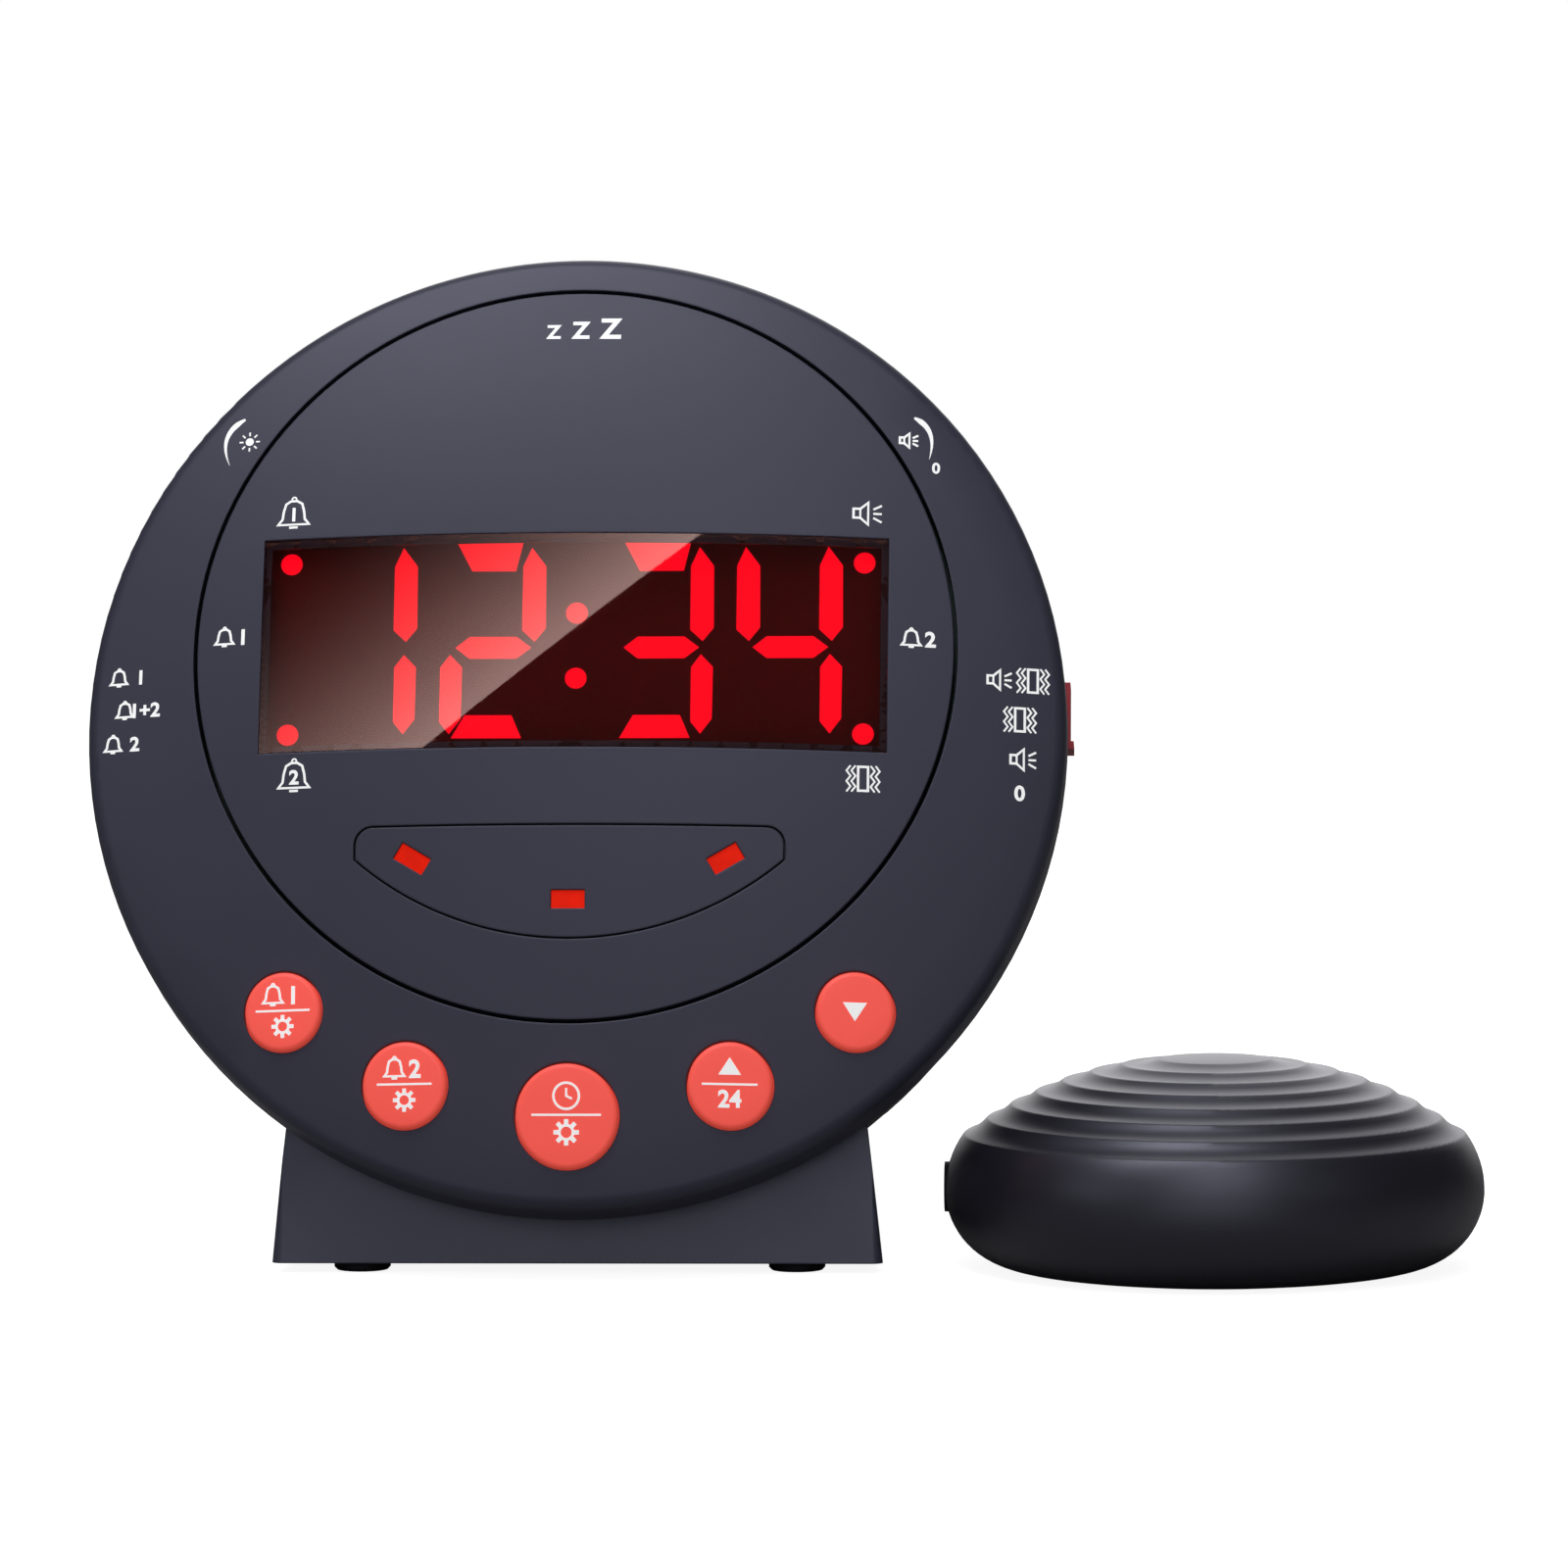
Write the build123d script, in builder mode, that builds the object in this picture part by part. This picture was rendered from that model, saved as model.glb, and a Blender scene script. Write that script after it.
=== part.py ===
from build123d import *
from math import cos, radians, sin, sqrt, tan
import os

# A bedside alarm clock for heavy sleepers: a round clock head on a stand, and a round shaker
# that goes under the pillow. Millimetres, +Z up, +X to the right of someone who faces the
# clock, whose front looks towards -Y. The origin is on the table, under the middle of the pair.

os.makedirs("parts", exist_ok=True)

# Driving sizes of the round head
disc_r = 70.0  # outside radius of the front bezel
dome_r = 254.0  # radius of the sphere that the whole front follows
dome_apex = 17.8  # top of that dome over the seam between bezel and rear housing
head_depth = 30.0  # from the seam back to the rear face
drum_r = 66.5  # radius of the rear housing behind its flange
drum_back_r = 65.4  # its radius at the rear face
drum_round = 5.0
head_height = 75.3  # centre of the disc over the table
lean = radians(18.06)  # the face looks up by this angle
shell = 2.2  # wall of the outer mouldings
rim_round = 2.5  # rounding of the bezel's front edge

# Driving sizes of the pieces set into the face; x runs right and u runs up in the face
snooze_r = 54.0  # the round panel that is pressed for snooze
snooze_u = 10.0  # its centre above the centre of the disc
snooze_gap = 0.6
window_w = 89.4
window_h = 31.8
window_u = 10.5
digit_h = 28.8
button_shares = {  # x and u of each button's centre as shares of disc_r, then its radius
    "alarm_1": (-0.578, -0.604, 0.0779),
    "alarm_2": (-0.328, -0.756, 0.0850),
    "time": (0, -0.819, 0.1029),
    "up": (0.328, -0.756, 0.0850),
    "down": (0.578, -0.604, 0.0779),
}

# Driving sizes of the stand
stand_w = 87.7  # across the foot, at the front
stand_front = 13.6  # front foot edge ahead of the centre of the disc
stand_depth = 52.6
stand_draft = 6.0  # degrees that every side leans in
stand_wall = 2.2
foot_h = 1.5
foot_r = 4.05

# Driving sizes of the shaker
shaker_r = 38.5
shaker_h = 30.1
shaker_apart_x = 90.8  # centre of the shaker from the centre of the disc
shaker_apart_y = 3.3
shaker_wall = 2.0
waist_z = 11.1  # height of its widest ring
parting_z = 9.8  # seam between its two shells

# Shared clearances
overrun = 1.0  # how far a cut runs past what it cuts
slip = 0.05  # radial play of a pin in its bore
fit_gap = 0.1  # between pieces that are fitted together
rest_gap = 0.3  # between a moving piece and what it rests against

# Frames: the head's own axes lean back with the face
head_x = -(shaker_apart_x + shaker_r - disc_r) / 2
head_back = (drum_back_r - drum_round) * sin(lean) + (head_depth - drum_round) * cos(lean) + drum_round
head_y = (shaker_apart_y + shaker_r - head_back) / 2
shaker_x = head_x + shaker_apart_x
shaker_y = head_y - shaker_apart_y
head_centre = Vector(head_x, head_y, head_height)
outward = Vector(0, -cos(lean), sin(lean))
face_up = Vector(0, sin(lean), cos(lean))
face = Plane(origin=head_centre, x_dir=(1, 0, 0), z_dir=outward)
head_axis = Axis(head_centre, outward)
head_section = Plane(origin=head_centre, x_dir=(1, 0, 0), z_dir=face_up * -1)
shaker_centre = Vector(shaker_x, shaker_y, 0)
shaker_axis = Axis(shaker_centre, (0, 0, 1))
shaker_section = Plane(origin=shaker_centre, x_dir=(1, 0, 0), z_dir=(0, -1, 0))
from_low = (Align.CENTER, Align.CENTER, Align.MIN)


def save(piece, name):
    """Label a finished piece and write it under its name."""
    piece.part.label = name
    export_step(piece.part, f"parts/{name}.step")


def dome_level(radius, offset=0):
    """Level of the dome, or of a surface offset from it, at a radius from the head's axis."""
    return dome_apex - dome_r + sqrt((dome_r + offset) ** 2 - radius**2)


def reach_of(x, u):
    """Distance from the head's axis."""
    return sqrt(x**2 + u**2)


def around(ring_r, degrees):
    """Place on a ring about the head's axis."""
    return ring_r * cos(radians(degrees)), ring_r * sin(radians(degrees))


def head_plane(level, x=0, u=0):
    """Plane parallel to the seam, with its origin at a place of the head."""
    return Plane(origin=face.from_local_coords(Vector(x, u, level)), x_dir=face.x_dir, z_dir=outward)


def under_dome(offset, reach, floor, mode=Mode.ADD, rim=0):
    """Solid of revolution between a flat floor and the dome offset by `offset`."""
    with BuildSketch(head_section) as section:
        with BuildLine():
            Line((0, floor), (reach, floor))
            Line((reach, floor), (reach, dome_level(reach, offset)))
            ThreePointArc(
                (reach, dome_level(reach, offset)),
                (reach / 2, dome_level(reach / 2, offset)),
                (0, dome_level(0, offset)),
            )
            Line((0, dome_level(0, offset)), (0, floor))
        make_face()
        if rim:
            fillet(section.vertices().group_by(Axis.X)[-1].sort_by(Axis.Y)[-1], rim)
    revolve(section.sketch, axis=head_axis, mode=mode)


def pillar(x, u, radius, low, high, mode=Mode.ADD):
    """Round post along the head's axis."""
    with Locations(head_plane(low, x, u)):
        Cylinder(radius, high - low, align=from_low, mode=mode)


def brick(x_span, u_span, level_span, mode=Mode.ADD):
    """Block in the head's axes, given by its two ends along each."""
    with Locations(head_plane(level_span[0], sum(x_span) / 2, sum(u_span) / 2)):
        Box(
            abs(x_span[1] - x_span[0]),
            abs(u_span[1] - u_span[0]),
            level_span[1] - level_span[0],
            align=from_low,
            mode=mode,
        )


def cross_bar(x_span, u, level, radius, mode=Mode.ADD):
    """Round bar across the head."""
    start = face.from_local_coords(Vector(min(x_span), u, level))
    with Locations(Plane(origin=start, z_dir=(1, 0, 0))):
        Cylinder(radius, abs(x_span[1] - x_span[0]), align=from_low, mode=mode)


# Board, screws and switches inside the head share these levels
board_t = 1.6
board_top = 0.6
board_low = board_top - board_t
screw_r = 1.5
screw_head_r = 2.7
screw_head_t = 1.4
switch_w = 6.0
switch_t = 2.5
plunger_r = 1.75
plunger_h = 3.6  # from the board to a plunger's top at rest
plunger_top = board_top + plunger_h
press_travel = 1.0  # the most that any button goes in
plunger_low = board_top + press_travel + rest_gap

# Front bezel: domed ring with a skirt, five button holes and the snooze panel's hinge ears
collar_r = snooze_r + snooze_gap + shell
collar_low = 4.9
post_r = 2.6
post_ring_r = 60.2
post_low = -1.3
post_degrees = (18.0, 162.0, 205.0, 335.0)
housing_posts = [around(post_ring_r, angle) for angle in post_degrees]
board_post_r = 2.2
board_post_ring_r = 61.6
board_post_degrees = (31.0, 149.0, 215.0, 325.0)
board_screw_r = 1.1
board_posts = [around(board_post_ring_r, angle) for angle in board_post_degrees]
thread_depth = 6.0
button_gap = 0.25
flange_w = 1.0  # lip of a button behind the bezel
hinge_u = -39.5
hinge_level = 7.2
hinge_pin_r = 1.0
ear_r = 2.2
lug_span = (8.5, 11.5)
ear_span = (12.0, 15.0)


def button_place(name):
    """Centre and radius of a button."""
    return [share * disc_r for share in button_shares[name]]


with BuildPart() as bezel_hollow:
    under_dome(-shell, disc_r - shell, -overrun)
    pillar(0, snooze_u, collar_r, collar_low, dome_apex, Mode.SUBTRACT)
    for x, u in housing_posts:
        pillar(x, u, post_r, -overrun, dome_apex, Mode.SUBTRACT)
    for x, u in board_posts:
        pillar(x, u, board_post_r, board_top, dome_apex, Mode.SUBTRACT)

with BuildPart() as front_bezel:
    under_dome(0, disc_r, 0, rim=rim_round)
    pillar(0, snooze_u, snooze_r + snooze_gap, -overrun, dome_apex + overrun, Mode.SUBTRACT)
    add(bezel_hollow.part, mode=Mode.SUBTRACT)
    for x, u in housing_posts:
        pillar(x, u, post_r, post_low, collar_low)
    for x, u in housing_posts:
        pillar(x, u, screw_r + slip, post_low, post_low + thread_depth, Mode.SUBTRACT)
    for x, u in board_posts:
        pillar(x, u, board_screw_r + slip, board_top, board_top + thread_depth, Mode.SUBTRACT)
    for side in (-1, 1):
        ears = (side * ear_span[0], side * ear_span[1])
        collar_u = snooze_u - snooze_r - snooze_gap
        brick(ears, (collar_u, hinge_u + ear_r), (collar_low, hinge_level + ear_r - fit_gap))
        cross_bar(ears, hinge_u, hinge_level, hinge_pin_r, Mode.SUBTRACT)
    for name in button_shares:
        x, u, button_r = button_place(name)
        pillar(x, u, button_r + button_gap, 0, dome_apex, Mode.SUBTRACT)
save(front_bezel, "front_bezel")

# Hinge pins of the snooze panel, driven into the bezel's ears
with BuildPart() as snooze_hinge_pins:
    for side in (-1, 1):
        cross_bar((side * (lug_span[0] - rest_gap), side * ear_span[1]), hinge_u, hinge_level, hinge_pin_r)
save(snooze_hinge_pins, "snooze_hinge_pins")

# Snooze panel: round domed shell with openings for the window and for the alert insert
panel_wall = 2.0
panel_skirt = 4.0
window_t = 1.6
ledge_w = 1.2
window_u_span = (window_u - window_h / 2, window_u + window_h / 2)
window_x_span = (-window_w / 2, window_w / 2)
snooze_post_u = 38.0
snooze_post_r = 2.2
insert_t = 1.5
insert_w = 60.6
insert_top = -16.7
insert_low = -32.5
insert_arc_r = 46.0
insert_round = 2.4
insert_gap = 0.3
slot_size = (4.8, 2.65)
slot_shares = ((0, -0.388, 0), (-0.317, -0.303, -31), (0.317, -0.303, 31))  # of disc_r; degrees
lens_sink = 0.3
lip_w = 1.0


def grown(span, amount):
    """A span made longer at both ends."""
    return span[0] - amount, span[1] + amount


def insert_outline(grow, level):
    """Smile-shaped outline of the alert insert, grown all round, on a plane of the head."""
    half = insert_w / 2 + grow
    radius = insert_arc_r + grow
    low = insert_low - grow
    corner_u = low + radius - sqrt(radius**2 - half**2)
    with BuildSketch(head_plane(level)) as outline:
        with BuildLine():
            Line((-half, corner_u), (-half, insert_top + grow))
            Line((-half, insert_top + grow), (half, insert_top + grow))
            Line((half, insert_top + grow), (half, corner_u))
            ThreePointArc((half, corner_u), (0, low), (-half, corner_u))
        make_face()
        corners = outline.vertices().group_by(Axis.Y)
        fillet(corners[-1], insert_round + grow)
        fillet(corners[0], (insert_round + grow) / 2)
    return outline.sketch


def alert_slots(grow, low, high, mode):
    """The three slots of the alert lights, as blocks along the head's axis."""
    for x_share, u_share, angle in slot_shares:
        with BuildSketch(head_plane(low, x_share * disc_r, u_share * disc_r)) as slot:
            Rectangle(slot_size[0] + 2 * grow, slot_size[1] + 2 * grow, rotation=angle)
        extrude(slot.sketch, amount=high - low, mode=mode)


with BuildPart() as panel_hollow:
    under_dome(-panel_wall, disc_r, -overrun)
    pillar(0, snooze_u, snooze_r - panel_wall, -overrun, dome_apex, Mode.INTERSECT)

with BuildPart() as window_rebate:
    brick(window_x_span, window_u_span, (0, dome_apex + overrun))
    under_dome(-window_t, disc_r, -overrun, Mode.SUBTRACT)

with BuildPart() as insert_rebate:
    extrude(insert_outline(insert_gap, 0), amount=dome_apex + overrun)
    under_dome(-insert_t, disc_r, -overrun, Mode.SUBTRACT)

with BuildPart() as snooze_panel:
    under_dome(0, disc_r, 0)
    pillar(0, snooze_u, snooze_r, -overrun, dome_apex + overrun, Mode.INTERSECT)
    under_dome(-panel_skirt, disc_r, -overrun, Mode.SUBTRACT)
    add(panel_hollow.part, mode=Mode.SUBTRACT)
    for side in (-1, 1):
        lug = (side * lug_span[0], side * lug_span[1])
        lug_top = dome_level(reach_of(lug_span[1], hinge_u), -panel_wall / 2)
        brick(lug, (hinge_u - ear_r, hinge_u + ear_r), (hinge_level - ear_r, lug_top))
        cross_bar(lug, hinge_u, hinge_level, hinge_pin_r + slip, Mode.SUBTRACT)
    post_top = dome_level(snooze_post_u, -panel_wall / 2)
    pillar(0, snooze_post_u, snooze_post_r, plunger_top, post_top)
    brick(
        grown(window_x_span, -ledge_w), grown(window_u_span, -ledge_w), (0, dome_apex), Mode.SUBTRACT
    )
    add(window_rebate.part, mode=Mode.SUBTRACT)
    extrude(insert_outline(-lip_w, 0), amount=dome_apex, mode=Mode.SUBTRACT)
    add(insert_rebate.part, mode=Mode.SUBTRACT)
save(snooze_panel, "snooze_panel")

# Tinted window over the display, flush with the dome
with BuildPart() as display_window:
    under_dome(0, disc_r, 0)
    brick(
        grown(window_x_span, -fit_gap), grown(window_u_span, -fit_gap), (0, dome_apex), Mode.INTERSECT
    )
    under_dome(-window_t, disc_r, -overrun, Mode.SUBTRACT)
save(display_window, "display_window")

# Alert insert: smile-shaped plate with three slots for the alert lights
with BuildPart() as alert_insert:
    under_dome(0, disc_r, 0)
    extrude(insert_outline(0, 0), amount=dome_apex, mode=Mode.INTERSECT)
    under_dome(-insert_t, disc_r, -overrun, Mode.SUBTRACT)
    alert_slots(0, 0, dome_apex, Mode.SUBTRACT)
save(alert_insert, "alert_insert")

# Red lenses that fill the three slots
with BuildPart() as alert_lenses:
    alert_slots(-slip, 0, dome_apex, Mode.ADD)
    with BuildPart(mode=Mode.PRIVATE) as lens_layer:
        under_dome(-lens_sink, disc_r, 0)
        under_dome(-insert_t, disc_r, -overrun, Mode.SUBTRACT)
    add(lens_layer.part, mode=Mode.INTERSECT)
save(alert_lenses, "alert_lenses")

# Display module with the digits 12:34 lit, the colon and the four indicator dots
display_face = 8.8
digit_t = 0.6
module_w = 90.0
module_h = 33.0
module_round = 1.0
digit_pitch = 18.4
pair_gap = 24.0
digit_mid = 11.3
dot_r = 1.55
colon_u_shares = (0.177, -0.156)  # of digit_h, from the middle bar
dot_x = 41.0
dot_u_shares = (0.429, -0.444)
column_share = -0.410  # left column from the right column, of digit_h
top_bar_shares = ((-0.388, 0.538), (-0.060, 0.538), (-0.094, 0.392), (-0.312, 0.392))
middle_bar_shares = (
    (-0.388, 0), (-0.318, 0.056), (-0.086, 0.056), (-0.012, 0), (-0.086, -0.056), (-0.318, -0.056),
)
bottom_bar_shares = ((-0.403, -0.462), (-0.336, -0.344), (-0.103, -0.344), (-0.053, -0.462))
upper_column_shares = (
    (-0.016, 0.514), (0.056, 0.417), (0.059, 0.100),
    (0.004, 0.031), (-0.059, 0.090), (-0.059, 0.417),
)
lower_column_shares = (
    (-0.004, -0.035), (0.057, -0.100), (0.055, -0.364),
    (-0.002, -0.441), (-0.052, -0.378), (-0.052, -0.100),
)
lit_segments = (  # for each digit: bars, then columns as (shape, column offset share)
    ((), ((upper_column_shares, 0), (lower_column_shares, 0))),
    (
        (top_bar_shares, middle_bar_shares, bottom_bar_shares),
        ((upper_column_shares, 0), (lower_column_shares, column_share)),
    ),
    (
        (top_bar_shares, middle_bar_shares, bottom_bar_shares),
        ((upper_column_shares, 0), (lower_column_shares, 0)),
    ),
    (
        (middle_bar_shares,),
        ((upper_column_shares, column_share), (upper_column_shares, 0), (lower_column_shares, 0)),
    ),
)


def digit_columns():
    """x of the right column of each of the four digits."""
    first = -pair_gap / 2 + digit_h * -column_share / 2
    second = pair_gap / 2 + digit_h * -column_share / 2
    return (first - digit_pitch, first, second, second + digit_pitch)


def segment(shape, x):
    """One lit segment, drawn from shares of the digit's height."""
    points = [(x + px * digit_h, digit_mid + pu * digit_h) for px, pu in shape]
    Polygon(*points, align=None)


with BuildPart() as display_digits:
    with BuildSketch(head_plane(display_face - digit_t)) as lit:
        for x, (bars, columns) in zip(digit_columns(), lit_segments):
            for bar in bars:
                segment(bar, x)
            for column, shift in columns:
                segment(column, x + shift * digit_h)
        with Locations(*[(0, digit_mid + share * digit_h) for share in colon_u_shares]):
            Circle(dot_r)
        with Locations(
            *[(side * dot_x, digit_mid + share * digit_h) for side in (-1, 1) for share in dot_u_shares]
        ):
            Circle(dot_r)
    extrude(amount=digit_t)
save(display_digits, "display_digits")

with BuildPart() as display_module:
    with BuildSketch(head_plane(board_top, 0, window_u)):
        RectangleRounded(module_w, module_h, module_round)
    extrude(amount=display_face - board_top)
    add(display_digits.part, mode=Mode.SUBTRACT)
save(display_module, "display_module")

# Main board: round, with a flat top edge and clearance for the posts
board_gap = 0.5
board_r = disc_r - shell - 4.0 * board_gap - shell
board_cut_u = 47.0
with BuildPart() as main_board:
    pillar(0, 0, board_r, board_low, board_top)
    brick((-disc_r, disc_r), (board_cut_u, disc_r), (board_low, board_top), Mode.SUBTRACT)
    for x, u in housing_posts:
        pillar(x, u, post_r + board_gap, board_low, board_top, Mode.SUBTRACT)
    for x, u in board_posts:
        pillar(x, u, board_screw_r + fit_gap, board_low, board_top, Mode.SUBTRACT)
save(main_board, "main_board")

board_head_r = 2.0
with BuildPart() as board_screws:
    for x, u in board_posts:
        pillar(x, u, board_screw_r, board_low, board_top + thread_depth - overrun)
        pillar(x, u, board_head_r, board_low - screw_head_t, board_low)
save(board_screws, "board_screws")

# Push switches on the board, under the five buttons and under the snooze panel's post
switch_places = [button_place(name)[:2] for name in button_shares] + [[0, snooze_post_u]]
with BuildPart() as push_switches:
    for x, u in switch_places:
        half = switch_w / 2
        brick((x - half, x + half), (u - half, u + half), (board_top, board_top + switch_t))
    for x, u in switch_places:
        pillar(x, u, plunger_r + fit_gap, board_top, board_top + switch_t, Mode.SUBTRACT)
save(push_switches, "push_switches")


def make_plunger(x, u, name):
    """Plunger of one push switch; it travels with what presses it."""
    with BuildPart() as plunger:
        pillar(x, u, plunger_r, plunger_low, plunger_top)
    save(plunger, name)


make_plunger(0, snooze_post_u, "plunger_snooze")

# The five push buttons: their tops follow the dome and stand a little proud of it
button_proud = 0.8
button_round = 0.7
flange_t = 1.2
stem_r = 1.8
lip_gap = 0.15  # between a button's lip and the underside of the bezel


def make_button(name):
    """Push button with a domed cap, a lip behind the bezel and a stem on its switch."""
    x, u, button_r = button_place(name)
    lip_r = button_r + flange_w
    lip_reach = reach_of(x, u) + lip_r
    floor = dome_level(lip_reach, -shell - lip_gap) - flange_t
    with BuildPart() as lip:
        under_dome(-shell - lip_gap, lip_reach, floor)
        pillar(x, u, lip_r, floor, dome_apex, Mode.INTERSECT)
    with BuildPart() as button:
        under_dome(button_proud, lip_reach, floor)
        pillar(x, u, button_r, floor, dome_apex, Mode.INTERSECT)
        fillet(button.faces().sort_by(head_axis)[-1].edges(), button_round)
        add(lip.part)
        pillar(x, u, stem_r, plunger_top, floor)
    save(button, f"button_{name}")
    make_plunger(x, u, f"plunger_{name}")


for name in button_shares:
    make_button(name)

# Lamps under the alert lenses
lamp_r = 1.5
lamp_top = 8.0
with BuildPart() as alert_lamps:
    for x_share, u_share, angle in slot_shares:
        x, u = x_share * disc_r, u_share * disc_r
        pillar(x, u, lamp_r, board_top, lamp_top - lamp_r)
        with Locations(head_plane(lamp_top - lamp_r, x, u)):
            Sphere(lamp_r)
save(alert_lamps, "alert_lamps")

# Rear housing: drum with a flange, a tongue inside the bezel, screw wells and a battery bay
seam_flange_r = 69.4
seam_flange_t = 1.8
tongue_wall = 1.4
tongue_high = 3.0
tongue_r = disc_r - shell - 2 * fit_gap
tube_r = 4.4
well_r = 2.9
well_floor = -5.0
back_inner = shell - head_depth

wheel_ring_r = 58.5
wheel_degrees = {"dimmer": 140.0, "volume": 40.0}
wheel_r = 9.0
wheel_t = 3.8
wheel_gap = 0.4
pot_t = 3.2
wheel_high = board_low - pot_t - rest_gap
wheel_low = wheel_high - wheel_t
spindle_r = 1.5
control_r = 5.5

slider_level = -7.0
slider_cap_h = 4.4
slider_cap_l = 9.8
slider_reach = 70.2
ridge_h = 0.5  # of the grip ridge at the cap's low end
ridge_w = 1.1
slider_seat_x = 64.2
slider_tongue = (4.0, 1.4)
sliders = {  # side, rest place along u, lowest and highest travel from rest
    "alarm_select": (-1, 2.0, -3.0, 3.0),
    "mode_select": (1, 4.8, -9.0, 0),
}
seat_wall = 2.7

speaker_u = 20.0
speaker_r = 25.0
grille_r = 20.0
grille_slots = 9
grille_slot_w = 2.2
speaker_flange_t = 1.2
speaker_boss_r = 2.4
speaker_head_r = 3.2
speaker_screw_r = speaker_r + speaker_boss_r + fit_gap
speaker_screw_degrees = (90.0, 210.0, 330.0)

bay_x = 24.6
bay_u_span = (-31.0, -9.6)
bay_wall = 1.4
bay_floor = -17.1
door_t = 1.6
door_ledge = 1.2
door_knuckle_r = 0.8
door_pin_r = 0.6
door_pin_l = 1.6
cell_r = 5.25
cell_l = 44.5

socket_x = -37.0
power_u = -13.0
shaker_jack_u = -27.0
socket_nose_r = 4.0
power_nose_r = 4.6

head_screw_x = 30.0
head_screw_level = -16.0
head_boss_r = 3.6
head_boss_top_u = -52.0
head_screw_seat_u = -63.2


def drum(offset, top, mode=Mode.ADD):
    """The rear housing's rounded drum, grown all round by `offset`."""
    with BuildSketch(head_section) as section:
        with BuildLine():
            Polyline(
                (0, top),
                (drum_r + offset, top),
                (drum_r + offset, -seam_flange_t),
                (drum_back_r + offset, -head_depth - offset),
                (0, -head_depth - offset),
                close=True,
            )
        make_face()
        fillet(section.vertices().group_by(Axis.Y)[0].sort_by(Axis.X)[-1], drum_round + offset)
    revolve(section.sketch, axis=head_axis, mode=mode)


def up_bar(x, u_span, level, radius, mode=Mode.ADD):
    """Round bar that runs up in the face."""
    start = face.from_local_coords(Vector(x, u_span[0], level))
    with Locations(Plane(origin=start, x_dir=(1, 0, 0), z_dir=face_up)):
        Cylinder(radius, u_span[1] - u_span[0], align=from_low, mode=mode)


def slider_u_span(name, margin):
    """How far along u a slider's cap sweeps."""
    side, rest_u, lowest, highest = sliders[name]
    half = slider_cap_l / 2 + margin
    return rest_u + lowest - half, rest_u + highest + half


def tongue_u_span(name, margin):
    """How far along u a slider's tongue sweeps."""
    side, rest_u, lowest, highest = sliders[name]
    half = slider_tongue[0] / 2 + margin
    return rest_u + lowest - half, rest_u + highest + half


bay_centre_u = sum(bay_u_span) / 2
door_hinge_u = bay_u_span[0] - door_ledge + door_knuckle_r
door_hinge_level = -head_depth + door_knuckle_r
door_u_span = (door_hinge_u, bay_u_span[1] + door_ledge)
door_x = bay_x + door_ledge

with BuildPart() as rear_hollow:
    drum(-shell, overrun)
    for x, u in housing_posts:
        pillar(x, u, tube_r, -head_depth, post_low, Mode.SUBTRACT)
    brick(
        (-bay_x - bay_wall, bay_x + bay_wall),
        (door_u_span[0] - 2 * door_knuckle_r, bay_u_span[1] + bay_wall + door_ledge),
        (-head_depth, bay_floor + bay_wall),
        Mode.SUBTRACT,
    )
    for angle in speaker_screw_degrees:
        x, u = around(speaker_screw_r, angle)
        pillar(x, u + speaker_u, speaker_boss_r, -head_depth, back_inner + speaker_flange_t, Mode.SUBTRACT)
    for side in (-1, 1):
        boss = (-disc_r, head_boss_top_u)
        up_bar(side * head_screw_x, boss, head_screw_level, head_boss_r, Mode.SUBTRACT)
    for name, (side, rest_u, lowest, highest) in sliders.items():
        seat = (side * (slider_seat_x - seat_wall), side * disc_r)
        half_h = slider_cap_h / 2 + wheel_gap + bay_wall
        seat_levels = (slider_level - half_h, slider_level + half_h)
        brick(seat, slider_u_span(name, seat_wall), seat_levels, Mode.SUBTRACT)

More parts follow.
